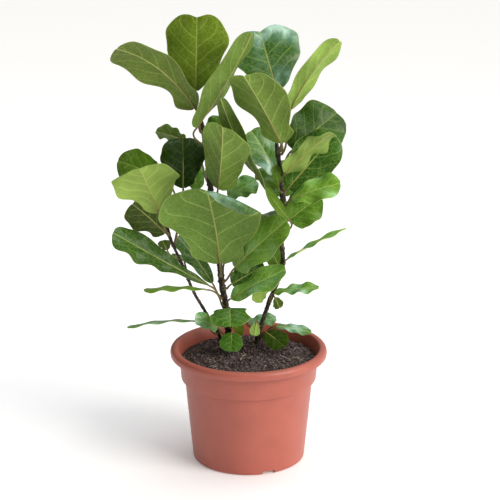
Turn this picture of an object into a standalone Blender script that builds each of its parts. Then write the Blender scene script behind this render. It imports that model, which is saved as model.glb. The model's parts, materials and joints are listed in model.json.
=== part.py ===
"""Potted fiddle leaf fig: a thin-walled nursery pot filled with potting mix, three woody stems that stand
in the mix, and the broad waisted leaves that grow from them. Metres, +Z up; the origin is the middle of the
pot's underside. Each leaf is one solid of petiole and blade, swept along its own midrib."""

import math
from collections import namedtuple

import bpy
import numpy as np

MM = 0.001

# Pot.
POT_HEIGHT = 208 * MM
POT_LIP_RADIUS = 140.5 * MM
POT_MOUTH_RADIUS = 126.8 * MM
POT_NECK_RADIUS = 124.8 * MM
POT_COLLAR_RADIUS = 121.4 * MM
POT_BODY_RADIUS = 115.0 * MM
POT_FOOT_RADIUS = 101.2 * MM
POT_WALL = 2.6 * MM
POT_SIDES = 40
LIP_DEPTH = 14.6 * MM
NECK_TOP = 190 * MM
COLLAR_BOTTOM = 151.6 * MM
LEDGE_INSIDE = (COLLAR_BOTTOM + 0.8 * MM, COLLAR_BOTTOM + 3.8 * MM)
PAD_RADIUS = 58 * MM
CHANNEL_OUTER_RADIUS = 84 * MM
CHANNEL_DEPTH = 7 * MM
FLOOR_TOP = CHANNEL_DEPTH + 3 * MM
FOOT_NOTCHES = 3
FIRST_NOTCH_DEG = -69
NOTCH_WIDTH = 24 * MM
DRAIN_HOLES = 6
DRAIN_RADIUS = 5 * MM

# Potting mix.
CLEARANCE = 0.3 * MM
SOIL_EDGE = 184 * MM
SOIL_MOUND = 14 * MM
SOIL_BUMP = 1.6 * MM
SOIL_RINGS = 4
SOIL_SIDES = POT_SIDES

# Stems.
STEM_SIDES = 8
STEM_BURIED = 70 * MM
HOLE_CLEARANCE = 0.5 * MM
NODE_SWELL = 1.25

# Leaves.
BLADE_THICKNESS = 0.8 * MM
ACROSS = (-1.0, -0.55, 0.0, 0.55, 1.0)
ACROSS_ROLLED = (-1.0, -0.8, -0.55, -0.3, 0.0, 0.3, 0.55, 0.8, 1.0)
PETIOLE_RADIUS = 2.1 * MM
PETIOLE_RINGS = 3

Stem = namedtuple("Stem", "points radius tip_radius")

# Each stem is a smooth curve through points in millimetres, from the mix up to its growing tip; its radius
# at the mix and at the tip is in millimetres too.
STEMS = {
    "left": Stem([(-50, 52, 196), (-55, 50, 214), (-79, 46, 258), (-100, 38, 300), (-115, 32, 342), (-138, 26, 400),
                  (-146, 24, 440)], 3.0, 2.3),
    "middle": Stem([(-36, 46, 198), (-37, 44, 220), (-42, 40, 272), (-50, 36, 330), (-56, 34, 405), (-66, 32, 480),
                    (-76, 30, 570), (-80, 30, 604)], 5.6, 3.8),
    "right": Stem([(14, 40, 200), (20, 36, 225), (36, 32, 278), (60, 30, 345), (59, 30, 400), (60, 32, 470),
                   (54, 34, 535), (50, 36, 566)], 3.8, 3.8),
}

Leaf = namedtuple(
    "Leaf",
    "stem height base tip width faces bend sweep twist fold curl ruffle waves phase widest taper blunt lobes skew"
    " scallop notch roll age",
)
Roll = namedtuple("Roll", "side along bearing radius degrees")


def leaf(stem, height, base, tip, width, faces, bend=20, sweep=0, twist=0, fold=12, curl=-12, ruffle=3, waves=3,
         phase=0.0, widest=0.66, taper=0.46, blunt=0.36, lobes=0.2, skew=0.0, scallop=0.04, notch=0.0, roll=None,
         age=0.8):
    """One leaf. Height is where its petiole leaves the stem; base and tip are the ends of its blade. Places and
    sizes are in millimetres. Faces is the compass bearing and the elevation that the upper side looks at. Bend
    arches the midrib away from the upper side, sweep bows it sideways, twist turns the blade along its length,
    fold and curl lift each half from the midrib outward, all in degrees. Widest is the share of the length where
    the blade is broadest; a higher taper makes its lower part more pointed and a lower blunt its far end squarer.
    Lobes widen it beside the petiole, skew makes its right half the wider, scallop waves the outline, and notch is
    the depth of a dent at the far end. Age is 0 for new growth and 1 for an old leaf.
    Roll is an edge that rolls over: a point on the line where it starts, as shares of half the width and of the
    length; the bearing of the rolled side, in degrees from the midrib to the right; and the radius and the
    degrees of the roll, which are negative where it rolls under the lower side."""
    return Leaf(stem, height, base, tip, width, faces, bend, sweep, twist, fold, curl, ruffle, waves, phase, widest,
                taper, blunt, lobes, skew, scallop, notch, roll, age)


LEAVES = {
    "crown_1": leaf("middle", 596, (-90, 24, 634), (-223, -24, 752), 90, (95, 46), bend=62, fold=8, curl=-15,
                    ruffle=5, waves=2, phase=0.3, widest=0.7, taper=0.42, blunt=0.34, lobes=0.34, age=0.7),
    "crown_2": leaf("middle", 600, (-93, 50, 660), (-90, 80, 788), 112, (-92, 15), bend=-10, fold=8, curl=-16,
                    ruffle=4, waves=2, phase=0.6, widest=0.7, taper=0.44, blunt=0.3, lobes=0.05, notch=5,
                    age=0.62),
    "crown_3": leaf("middle", 574, (-94, 8, 602), (7, 3, 774), 68, (142, 8), bend=-12, fold=32, ruffle=4,
                    waves=2, widest=0.55, taper=0.5, lobes=0.15, age=0.62),
    "right_1": leaf("right", 558, (58, 8, 576), (-8, -42, 709), 112, (58, 12), bend=12, fold=24, curl=-14,
                    ruffle=4, waves=2, phase=0.2, widest=0.68, taper=0.44, blunt=0.3, lobes=0.25, age=0.6),
    "right_2": leaf("right", 558, (50, 60, 658), (20, 84, 762), 122, (-85, 10), bend=10, fold=6, curl=-12,
                    ruffle=6, waves=2, phase=0.35, widest=0.68, taper=0.45, blunt=0.27, lobes=0.05, notch=6,
                    skew=0.05, age=0.95),
    "right_3": leaf("right", 552, (72, 36, 630), (157, 20, 757), 46, (110, 18), bend=10, sweep=20, fold=25,
                    ruffle=5, waves=2, phase=0.1, widest=0.62, taper=0.42, lobes=0.35, age=0.4),
    "right_4": leaf("right", 524, (76, 72, 550), (158, 120, 608), 98, (-78, 38), bend=25, ruffle=6, waves=2,
                    phase=0.7, widest=0.6, taper=0.42, blunt=0.3, age=0.95),
    "right_5": leaf("right", 508, (62, 14, 522), (143, -20, 605), 52, (115, 30), bend=25, sweep=-12, ruffle=6,
                    waves=2.5, phase=0.15, widest=0.6, taper=0.5, lobes=0.45, scallop=0.12, age=0.25),
    "right_6": leaf("right", 477, (68, 46, 486), (151, 60, 582), 84, (-60, 45), bend=0, fold=15, ruffle=5,
                    waves=2, phase=0.4, widest=0.6, taper=0.5, age=1),
    "right_7": leaf("right", 459, (74, 18, 476), (160, 0, 510), 56, (-60, 50), bend=15, fold=12, ruffle=6,
                    waves=2, phase=0.55, blunt=0.5, age=0.45),
    "right_8": leaf("right", 425, (70, 36, 432), (128, 60, 470), 68, (-30, 45), bend=10, fold=20, ruffle=4,
                    waves=2, widest=0.52, blunt=0.6, age=0.75),
    "upper_1": leaf("middle", 468, (-54, -8, 498), (-44, -50, 622), 95, (60, 10), bend=15, fold=24, curl=-12,
                    ruffle=4, waves=2, phase=0.8, widest=0.66, taper=0.42, lobes=0.3, age=0.6),
    "front_1": leaf("middle", 330, (-50, 0, 358), (-73, -64, 520), 186, (80, 15), bend=35, fold=5, curl=-16,
                    ruffle=5, waves=2, phase=0.1, widest=0.68, taper=0.5, lobes=0.2, scallop=0.02, age=0.8,
                    roll=Roll(0.0, 0.93, -22, 7, -220)),
    "left_1": leaf("left", 411, (-157, 4, 452), (-187, -40, 547), 120, (84, -8), bend=30, curl=-18, ruffle=5,
                   waves=2, phase=0.25, widest=0.72, taper=0.5, blunt=0.24, lobes=0.1, age=0.15),
    "left_2": leaf("left", 388, (-158, 44, 512), (-231, 60, 535), 64, (-100, 25), bend=30, ruffle=4, waves=2,
                   widest=0.6, blunt=0.5, age=0.75),
    "left_3": leaf("middle", 500, (-112, 114, 558), (-166, 112, 576), 44, (90, 40), bend=20, fold=20, age=0.8),
    "left_4": leaf("middle", 452, (-116, 42, 488), (-116, 49, 579), 82, (-80, 5), bend=15, fold=15, ruffle=5,
                   waves=2, phase=0.5, widest=0.68, taper=0.52, blunt=0.32, age=1.0),
    "left_5": leaf("left", 386, (-146, 34, 408), (-205, 24, 466), 74, (95, 15), bend=20, ruffle=4, waves=2,
                   phase=0.3, age=0.95),
    "left_6": leaf("left", 356, (-146, 50, 372), (-154, 44, 392), 24, (90, 30), bend=20, ruffle=1, age=0.8),
    "front_2": leaf("middle", 288, (-64, 44, 310), (-128, 70, 392), 40, (-60, 30), bend=20, age=1.0),
    "left_7": leaf("middle", 288, (-66, 14, 315), (-238, -10, 423), 54, (-110, 50), bend=-5, fold=12, ruffle=5,
                   waves=4, widest=0.74, taper=0.62, lobes=0.12, scallop=0.07, age=1),
    "left_8": leaf("middle", 273, (-70, -18, 320), (-183, -44, 327), 36, (90, 84), bend=20, fold=5, ruffle=2,
                   age=0.4),
    "left_9": leaf("left", 215, (-88, 24, 246), (-216, -10, 246), 30, (90, 78), bend=20, fold=8, ruffle=1.5,
                   lobes=0.4, widest=0.6, age=0.6),
    "low_1": leaf("middle", 254, (-34, 4, 278), (-32, -44, 260), 72, (-90, 57), bend=20, ruffle=2, waves=1.5,
                  widest=0.58, lobes=0.3, age=1),
    "low_2": leaf("middle", 209, (-30, 4, 232), (-32, -24, 206), 42, (-90, 45), bend=10, ruffle=1, widest=0.58,
                  taper=0.4, age=0.95),
    "low_3": leaf("right", 208, (32, 10, 230), (64, -16, 212), 43, (-80, 50), bend=20, ruffle=1, widest=0.58,
                  taper=0.4, age=1),
    "low_4": leaf("right", 214, (48, 20, 238), (112, 6, 231), 23, (-90, 65), bend=20, ruffle=1.5, age=0.9),
    "low_5": leaf("right", 222, (-2, 50, 234), (50, 56, 240), 30, (-90, 60), bend=20, ruffle=2),
    "low_6": leaf("right", 234, (14, 16, 248), (10, 0, 228), 20, (90, 20), bend=10, ruffle=1, age=0.6),
    "low_7": leaf("middle", 229, (-30, 30, 238), (-10, 40, 222), 28, (-90, 50), bend=10, ruffle=1, age=0.2),
    "low_8": leaf("middle", 213, (-56, 18, 236), (-96, 2, 262), 32, (-100, 50), bend=20, ruffle=1.5, lobes=0.5,
                  age=0.6),
    "right_9": leaf("right", 288, (44, 16, 302), (124, -10, 320), 32, (-90, 72), bend=20, fold=15, age=0.55),
    "mid_1": leaf("middle", 303, (-32, 36, 312), (28, 60, 340), 62, (-60, 35), bend=20, ruffle=4, age=1),
    "mid_2": leaf("middle", 271, (-34, 16, 291), (66, 0, 351), 56, (-100, 60), bend=15, ruffle=4, waves=2,
                  age=0.7),
    "mid_3": leaf("middle", 319, (-26, -2, 354), (66, -44, 455), 66, (-70, 45), bend=20, ruffle=5, waves=2,
                  phase=0.3, widest=0.6, age=0.5),
    "mid_4": leaf("right", 336, (56, 44, 340), (34, 60, 378), 50, (-60, 40), bend=10, age=0.85),
    "mid_5": leaf("right", 304, (34, 16, 314), (10, 12, 288), 30, (90, 40), bend=10, fold=5, ruffle=1, age=0.4),
    "right_10": leaf("right", 356, (66, 24, 362), (172, 10, 424), 24, (-80, 86), bend=10, fold=18, ruffle=2,
                     scallop=0.1, age=0.25),
    "right_11": leaf("right", 412, (74, 7, 438), (-48, -12, 664), 54, (12, 12), bend=-22, twist=100, fold=15,
                     widest=0.42, age=0.6),
    "right_12": leaf("right", 480, (52, 68, 506), (4, 84, 584), 62, (-70, 30), bend=20, ruffle=5, waves=2,
                     age=0.8),
    "right_13": leaf("right", 486, (52, 12, 502), (44, 4, 540), 26, (-60, 50), bend=20, ruffle=1.5, age=0.4),
    "right_14": leaf("right", 282, (47, 8, 297), (55, 0, 280), 24, (90, 40), bend=10, ruffle=1, age=0.4),
    "crown_4": leaf("middle", 565, (-72, 50, 580), (-46, 60, 612), 40, (-90, 40), bend=20),
    "upper_2": leaf("middle", 455, (-38, 42, 474), (14, 60, 498), 44, (-60, 55), bend=20),
    "upper_5": leaf("middle", 438, (-90, 80, 476), (-104, 90, 518), 44, (-80, 40), bend=20),
    "back_1": leaf("middle", 490, (-54, 96, 532), (-32, 150, 550), 84, (-90, 50), bend=40, ruffle=5),
    "back_2": leaf("right", 398, (66, 112, 452), (52, 178, 502), 90, (-90, 45), bend=40, ruffle=5),
    "back_3": leaf("middle", 396, (-74, 80, 430), (-108, 150, 432), 88, (-100, 60), bend=40, ruffle=5),
    "back_4": leaf("right", 382, (48, 80, 416), (24, 150, 408), 90, (-80, 65), bend=40, ruffle=5),
    "back_5": leaf("middle", 306, (-44, 90, 338), (-26, 160, 358), 95, (-90, 60), bend=45, ruffle=5),
    "back_6": leaf("left", 324, (-116, 80, 348), (-108, 140, 322), 70, (-90, 70), bend=30, ruffle=4),
}


def unit(vector):
    return vector / np.linalg.norm(vector)


def turned(vector, axis, degrees):
    """The vector turned about a unit axis, by Rodrigues' formula."""
    angle = math.radians(degrees)
    along = axis * np.dot(axis, vector)
    return along + (vector - along) * math.cos(angle) + np.cross(axis, vector) * math.sin(angle)


def smooth_step(low, high, value):
    share = min(1.0, max(0.0, (value - low) / (high - low)))
    return share * share * (3 - 2 * share)


def spline(points, count):
    """Points on a Catmull-Rom curve through the given ones."""
    points = np.asarray(points, float)
    padded = np.vstack([2 * points[0] - points[1], points, 2 * points[-1] - points[-2]])
    found = []
    for place in np.linspace(0, len(points) - 1 - 1e-9, count):
        first = int(place)
        t = place - first
        a, b, c, d = padded[first : first + 4]
        found.append(0.5 * (2 * b + (c - a) * t + (2 * a - 5 * b + 4 * c - d) * t**2 + (3 * b - a - 3 * c + d) * t**3))
    return np.array(found)


def skin(rings):
    """Vertices and faces of closed rings joined one to the next, with a flat cap at each end. The second half of
    each ring is split into triangles like the first half that it lies under, so that a thin blade keeps its
    thickness."""
    sides = len(rings[0])
    faces = [tuple(range(sides))[::-1]]
    for start in range(0, (len(rings) - 1) * sides, sides):
        for side in range(sides):
            here, beside = start + side, start + (side + 1) % sides
            above, across = here + sides, beside + sides
            if side < sides // 2:
                faces += [(here, beside, across), (here, across, above)]
            else:
                faces += [(here, beside, above), (beside, across, above)]
    last = (len(rings) - 1) * sides
    faces.append(tuple(range(last, last + sides)))
    return np.vstack(rings), faces


# ---- stems ----


def stem_line(stem):
    return spline(np.array(stem.points) * MM, 200)


def stem_at(stem, height):
    """Centre, direction and radius of a stem at a height."""
    line = stem_line(stem)
    index = min(max(int(np.searchsorted(line[:, 2], height)), 1), len(line) - 1)
    before, after = line[index - 1], line[index]
    share = min(1.0, max(0.0, (height - before[2]) / (after[2] - before[2])))
    along = (height - line[0, 2]) / (line[-1, 2] - line[0, 2])
    radius = (stem.radius + (stem.tip_radius - stem.radius) * along) * MM
    return before + (after - before) * share, unit(after - before), radius


def ring_round(centre, direction, radius, sides):
    across = unit(np.cross(direction, (0.0, 1.0, 0.02)))
    beside = np.cross(direction, across)
    angles = [2 * math.pi * side / sides for side in range(sides)]
    return np.array([centre + radius * (math.cos(a) * across + math.sin(a) * beside) for a in angles])


def stem_rings(name):
    """Rings from the buried foot up to the pointed bud, with a swelling where each leaf grows."""
    stem = STEMS[name]
    foot = np.array(stem.points[0]) * MM
    top = stem.points[-1][2] * MM
    heights = sorted({one.height * MM for one in LEAVES.values() if one.stem == name})
    places = [(foot[2] + 6 * MM, 1.0)]
    for height in heights:
        if height - places[-1][0] > 9 * MM:
            places.append(((height + places[-1][0]) / 2, 1.0))
        if height - places[-1][0] > 2 * MM:
            places.append((height, NODE_SWELL))
    rings = []
    up = np.array((0.0, 0.0, 1.0))
    for depth in (STEM_BURIED, 0.0):
        rings.append(ring_round(foot - (0, 0, depth), up, stem.radius * MM, STEM_SIDES))
    for height, swell in places:
        centre, direction, radius = stem_at(stem, height)
        rings.append(ring_round(centre, direction, radius * swell, STEM_SIDES))
    centre, direction, radius = stem_at(stem, top)
    if top - places[-1][0] > 2 * MM:
        rings.append(ring_round(centre, direction, radius, STEM_SIDES))
    for rise, share in ((4 * MM, 0.9), (10 * MM, 0.55), (16 * MM, 0.12)):
        rings.append(ring_round(centre + direction * rise, direction, radius * share, STEM_SIDES))
    return rings


# ---- leaves ----


def half_width(one, t, u):
    """Half the outline's width on the side of u at a share t of the blade's length, about 1 at the widest: a broad
    far end, a waist, and small lobes beside the petiole."""
    rise = max(math.sin(math.pi * t ** (math.log(0.5) / math.log(one.widest))), 0.0)
    main = rise ** (one.taper if t < one.widest else one.blunt)
    lobe = one.lobes * math.exp(-(((t - 0.13) / 0.09) ** 2))
    beat = 2 * math.pi * ((one.waves + 0.6) * t + 1.7 * one.phase + (0.45 if u > 0 else 0.0))
    uneven = 1 + math.copysign(one.skew, u) + one.scallop * math.sin(beat)
    return (main + lobe) * uneven * min(1.0, math.sqrt(t / 0.05))


def blade_frames(one, rows):
    """Midrib points, and at each the directions along the midrib, to the blade's side and out of its upper face."""
    base, tip = np.array(one.base) * MM, np.array(one.tip) * MM
    chord = tip - base
    along = unit(chord)
    bearing, elevation = math.radians(one.faces[0]), math.radians(one.faces[1])
    looks = np.array((math.cos(bearing) * math.cos(elevation), math.sin(bearing) * math.cos(elevation),
                      math.sin(elevation)))
    up = unit(looks - along * np.dot(looks, along))
    side = np.cross(along, up)
    frames = []
    for t in rows:
        bent = one.bend * (0.5 - t)
        swept = one.sweep * (0.5 - t)
        turn = one.twist * (t - 0.4)
        ahead, out = turned(along, side, bent), turned(up, side, bent)
        ahead, right = turned(ahead, out, -swept), turned(side, out, -swept)
        frames.append((ahead, turned(right, ahead, turn), turned(out, ahead, turn)))
    steps = np.array([(frames[i][0] + frames[i + 1][0]) / 2 * (rows[i + 1] - rows[i]) for i in range(len(rows) - 1)])
    path = np.vstack([np.zeros(3), np.cumsum(steps, axis=0)])
    scale = np.linalg.norm(chord) / np.linalg.norm(path[-1])
    axis = np.cross(path[-1], chord)
    if np.linalg.norm(axis) > 1e-9:
        off = math.degrees(math.acos(min(1.0, np.dot(unit(path[-1]), along))))
        axis = unit(axis)
        path = np.array([turned(point, axis, off) for point in path])
        frames = [tuple(turned(vector, axis, off) for vector in frame) for frame in frames]
    return base + path * scale, frames


def rolled(one, length, side, rise, ahead):
    """A blade point carried round the roll of the edge, where it lies beyond the line at which the roll starts."""
    bearing, radius = math.radians(one.roll.bearing), one.roll.radius * MM
    beside, before = side - one.roll.side * one.width * MM / 2, ahead - one.roll.along * length
    beyond = beside * math.sin(bearing) + before * math.cos(bearing)
    if beyond <= 0:
        return side, rise, ahead
    turn = min(beyond / radius, math.radians(abs(one.roll.degrees)))
    straight = beyond - turn * radius
    shift = radius * math.sin(turn) + straight * math.cos(turn) - beyond
    lift = radius * (1 - math.cos(turn)) + straight * math.sin(turn)
    return (side + shift * math.sin(bearing), rise + math.copysign(lift, one.roll.degrees),
            ahead + shift * math.cos(bearing))


def blade_place(one, length, t, u):
    """How far a blade point lies to the side of the midrib, above it and ahead of its own row, u from -1 at the
    left margin to 1 at the right one."""
    half = half_width(one, t, u)
    angles = np.radians(one.fold + one.curl * 2 * abs(u) * (np.arange(8) + 0.5) / 8)
    reach = abs(u) * half * one.width * MM / 2
    beat = 2 * math.pi * (one.waves * t + one.phase + (0.37 if u > 0 else 0.0))
    wave = one.ruffle * MM * math.sin(beat) * abs(u) ** 1.6 * min(1.0, half * 1.4)
    side = math.copysign(reach * np.cos(angles).mean(), u)
    rise = reach * np.sin(angles).mean() + wave
    dent = one.notch * MM * smooth_step(0.75, 1.0, t) * math.sin(math.pi * min(1.0, abs(u) * half / 0.9))
    if one.roll is None:
        return side, rise, dent
    side, rise, ahead = rolled(one, length, side, rise, t * length + dent)
    return side, rise, ahead - t * length


def blade_grid(one, rows, shares):
    """Points of the blade's middle surface, a row for each share of its length, and their normals, which leave the
    upper side; and the midrib's start with its directions there."""
    length = np.linalg.norm(np.array(one.tip) - np.array(one.base)) * MM
    path, frames = blade_frames(one, [0.0] + rows)
    grid = []
    for t, centre, (ahead, right, out) in zip(rows, path[1:], frames[1:]):
        places = [blade_place(one, length, t, u) for u in shares]
        grid.append([centre + right * side + out * rise + ahead * forward for side, rise, forward in places])
    grid = np.array(grid)
    normals = np.cross(np.gradient(grid, axis=1), np.gradient(grid, axis=0))
    return grid, normals / np.linalg.norm(normals, axis=2, keepdims=True), path[0], frames[0]


def blade_rings(one, row_count):
    """Closed rings of the blade's section: across the upper face and back along the lower one, with the midrib
    standing out below."""
    rows = [0.03 + 0.965 * (1 - (1 - i / (row_count - 1)) ** 1.35) for i in range(row_count)]
    shares = ACROSS_ROLLED if one.roll else ACROSS
    grid, normals, base, frame = blade_grid(one, rows, shares)
    rings = []
    for t, points, outs in zip(rows, grid, normals):
        ribs = np.array([[(1.3 * (1 - t) + 0.1) * MM if u == 0 else 0.0] for u in shares])
        upper = points + outs * BLADE_THICKNESS / 2
        lower = points - outs * (BLADE_THICKNESS / 2 + ribs)
        rings.append(np.vstack([upper, lower[::-1]]))
    return rings, base, frame


def petiole_rings(one, base, frame, corners):
    """Rings from the stem's surface to the blade, round, and matched point for point with the blade's section."""
    centre, direction, radius = stem_at(STEMS[one.stem], one.height * MM)
    outward = base - centre
    outward = unit(outward - direction * np.dot(outward, direction))
    start = centre + outward * (radius * NODE_SWELL + CLEARANCE)
    reach = np.linalg.norm(base - start)
    ahead, right, out = frame
    leaving = unit(outward + unit(base - start))
    pull = [start, start + leaving * reach * 0.3, base - ahead * reach * 0.35, base]
    shares = [i / PETIOLE_RINGS for i in range(PETIOLE_RINGS + 1)]
    weights = [((1 - s) ** 3, 3 * s * (1 - s) ** 2, 3 * s**2 * (1 - s), s**3) for s in shares]
    line = [sum(w * p for w, p in zip(weight, pull)) for weight in weights]
    tangents = [outward] + [unit(line[i + 1] - line[i - 1]) for i in range(1, PETIOLE_RINGS)] + [ahead]
    rings = []
    side = right
    for point, tangent, share in list(zip(line, tangents, shares))[::-1]:
        side = unit(side - tangent * np.dot(side, tangent))
        above = np.cross(side, tangent)
        thick = PETIOLE_RADIUS * (1.15 - 0.35 * share) * min(1.0, 0.7 + one.width / 300)
        angles = [math.pi - 2 * math.pi * (corner + 0.5) / corners for corner in range(corners)]
        rings.append(np.array([point + thick * (math.cos(a) * side + math.sin(a) * above) for a in angles]))
    return rings[::-1]


def leaf_rings(one, row_count=None):
    length = np.linalg.norm(np.array(one.tip) - np.array(one.base))
    rows = row_count or (6 if length < 50 else 7 if length < 90 else 10 if length < 130 else 12)
    blade, base, frame = blade_rings(one, rows)
    return petiole_rings(one, base, frame, len(blade[0])) + blade


# ---- pot and potting mix ----


def inner_radius(height):
    """Inside radius of the pot wall."""
    heights = (FLOOR_TOP, *LEDGE_INSIDE, NECK_TOP, NECK_TOP + 10 * MM)
    radii = (POT_FOOT_RADIUS - POT_WALL, POT_BODY_RADIUS - POT_WALL, POT_COLLAR_RADIUS - POT_WALL,
             POT_NECK_RADIUS - POT_WALL, POT_MOUTH_RADIUS - 2.4 * MM)
    return float(np.interp(height, heights, radii))


def lathe(profile, sides):
    """Vertices and faces of a solid turned about Z. The profile is a closed loop of (radius, height), or one whose
    two ends lie on the axis, and runs up the outside and down the inside."""
    vertices, rings = [], []
    for radius, height in profile:
        if radius < 1e-9:
            rings.append([len(vertices)])
            vertices.append((0.0, 0.0, height))
            continue
        rings.append(list(range(len(vertices), len(vertices) + sides)))
        angles = [2 * math.pi * side / sides for side in range(sides)]
        vertices += [(radius * math.cos(a), radius * math.sin(a), height) for a in angles]
    faces = []
    pairs = list(zip(rings, rings[1:]))
    if len(rings[0]) > 1:
        pairs.append((rings[-1], rings[0]))
    for low, high in pairs:
        for side in range(sides):
            after = (side + 1) % sides
            if len(low) == 1:
                faces.append((low[0], high[after], high[side]))
            elif len(high) == 1:
                faces.append((low[side], low[after], high[0]))
            else:
                faces.append((low[side], low[after], high[after], high[side]))
    return vertices, faces


def pot_profile():
    """Outside from the pad up past the collar's ledge, round the hollow lip, then down the inside to the floor."""
    roof = CHANNEL_DEPTH
    wall = [(0.0, 0.0), (PAD_RADIUS, 0.0), (PAD_RADIUS + 1.5 * MM, roof), (CHANNEL_OUTER_RADIUS, roof),
            (CHANNEL_OUTER_RADIUS + 1.5 * MM, 0.0), (POT_FOOT_RADIUS - 4 * MM, 0.0),
            (POT_FOOT_RADIUS - 1.0 * MM, 1.4 * MM), (POT_FOOT_RADIUS, 4.5 * MM),
            (POT_BODY_RADIUS, COLLAR_BOTTOM - 1.8 * MM), (POT_COLLAR_RADIUS - 0.9 * MM, COLLAR_BOTTOM - 0.8 * MM),
            (POT_COLLAR_RADIUS, COLLAR_BOTTOM + 0.8 * MM), (POT_NECK_RADIUS, NECK_TOP)]
    hollow = [(POT_NECK_RADIUS + 2.2 * MM, POT_HEIGHT - 5.2 * MM), (POT_LIP_RADIUS - 7.5 * MM, POT_HEIGHT - 3.2 * MM),
              (POT_LIP_RADIUS - 3.1 * MM, POT_HEIGHT - 5.6 * MM), (POT_LIP_RADIUS - 2.6 * MM, POT_HEIGHT - LIP_DEPTH)]
    lip = [(POT_LIP_RADIUS - 0.9 * MM, POT_HEIGHT - LIP_DEPTH), (POT_LIP_RADIUS, POT_HEIGHT - 10 * MM),
           (POT_LIP_RADIUS - 0.6 * MM, POT_HEIGHT - 5.2 * MM), (POT_LIP_RADIUS - 3 * MM, POT_HEIGHT - 1.6 * MM),
           (POT_LIP_RADIUS - 7 * MM, POT_HEIGHT), (POT_MOUTH_RADIUS + 2 * MM, POT_HEIGHT - 0.5 * MM),
           (POT_MOUTH_RADIUS, POT_HEIGHT - 2.4 * MM)]
    inside = [(inner_radius(height), height) for height in
              (NECK_TOP + 10 * MM, NECK_TOP, LEDGE_INSIDE[1], LEDGE_INSIDE[0], FLOOR_TOP + 3 * MM)]
    floor = [(inner_radius(FLOOR_TOP) - 3 * MM, FLOOR_TOP), (0.0, FLOOR_TOP)]
    return wall + hollow + lip + inside + floor


def soil_height(radius, angle):
    """Top of the mix: a low mound with shallow bumps, level where it meets the wall."""
    edge = inner_radius(SOIL_EDGE)
    share = radius / edge
    x, y = radius * math.cos(angle) / MM, radius * math.sin(angle) / MM
    bumps = math.sin(x / 9 + 1.3 * math.sin(y / 13)) + math.sin(y / 8 + 1.7 * math.sin(x / 11))
    return SOIL_EDGE + SOIL_MOUND * (1 - share**2) + SOIL_BUMP * bumps * (1 - share**4)


def soil_mesh():
    bottom = FLOOR_TOP + CLEARANCE
    gap = CLEARANCE / 0.9
    profile = [(0.0, bottom), (inner_radius(bottom) - 3.4 * MM, bottom)]
    profile += [(inner_radius(height) - gap, height + gap) for height in (FLOOR_TOP + 3 * MM, *LEDGE_INSIDE)]
    profile.append((inner_radius(SOIL_EDGE) - gap, SOIL_EDGE))
    edge = profile[-1][0]
    profile += [(edge * (1 - ring / SOIL_RINGS), SOIL_EDGE) for ring in range(1, SOIL_RINGS + 1)]
    vertices, faces = lathe(profile, SOIL_SIDES)
    raised = []
    for x, y, z in vertices:
        radius = math.hypot(x, y)
        top = z >= SOIL_EDGE - 1e-9 and radius < edge - 1e-6
        raised.append((x, y, soil_height(radius, math.atan2(y, x)) if top else z))
    return raised, faces


# ---- objects ----


def finish(name, colour, roughness, specular=0.5):
    """A Principled material of one colour."""
    material = bpy.data.materials.new(name)
    material.use_nodes = True
    shader = material.node_tree.nodes["Principled BSDF"]
    shader.inputs["Base Color"].default_value = (*colour, 1.0)
    shader.inputs["Roughness"].default_value = roughness
    shader.inputs["Specular IOR Level"].default_value = specular
    material.diffuse_color = (*colour, 1.0)
    return material


def add_object(name, vertices, faces, origin, material, crease_deg=40, parent=None):
    """A mesh object with its origin at the given point; the vertices come in world places."""
    mesh = bpy.data.meshes.new(name)
    mesh.from_pydata([tuple(float(value) for value in np.subtract(place, origin)) for place in vertices], [], faces)
    mesh.validate()
    mesh.materials.append(material)
    mesh.shade_smooth()
    mesh.set_sharp_from_angle(angle=math.radians(crease_deg))
    made = bpy.data.objects.new(name, mesh)
    bpy.context.scene.collection.objects.link(made)
    made.parent = parent
    made.location = np.subtract(origin, parent.matrix_world.translation) if parent else origin
    bpy.context.view_layer.update()
    return made


def add_cutter(target, name, vertices, faces):
    """Cuts a hidden solid out of the target."""
    mesh = bpy.data.meshes.new(name)
    mesh.from_pydata([tuple(float(value) for value in place) for place in vertices], [], faces)
    cutter = bpy.data.objects.new(name, mesh)
    bpy.context.scene.collection.objects.link(cutter)
    cutter.hide_render = True
    cutter.display_type = "WIRE"
    cut = target.modifiers.new(name, "BOOLEAN")
    cut.operation = "DIFFERENCE"
    cut.solver = "EXACT"
    cut.object = cutter


def joined(solids):
    """Vertices and faces of several separate solids as one mesh."""
    vertices, faces = [], []
    for points, polygons in solids:
        start = len(vertices)
        vertices += [tuple(point) for point in points]
        faces += [tuple(start + index for index in polygon) for polygon in polygons]
    return vertices, faces


def post(x, y, low, high, radius, sides):
    """An upright round solid."""
    rings = [ring_round(np.array((x, y, height)), np.array((0.0, 0.0, 1.0)), radius, sides) for height in (low, high)]
    return skin(rings)


def foot_notch(degrees):
    """A block across the foot ring, from the drainage channel out."""
    angle = math.radians(degrees)
    outward = np.array((math.cos(angle), math.sin(angle), 0.0))
    beside = np.array((-math.sin(angle), math.cos(angle), 0.0))
    rings = []
    for height in (-5 * MM, CHANNEL_DEPTH - 0.7 * MM):
        corners = []
        for reach, side in ((CHANNEL_OUTER_RADIUS - 5 * MM, -0.5), (POT_FOOT_RADIUS + 9 * MM, -0.5),
                            (POT_FOOT_RADIUS + 9 * MM, 0.5), (CHANNEL_OUTER_RADIUS - 5 * MM, 0.5)):
            corners.append(outward * reach + beside * side * NOTCH_WIDTH + np.array((0.0, 0.0, height)))
        rings.append(np.array(corners))
    return skin(rings)


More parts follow.
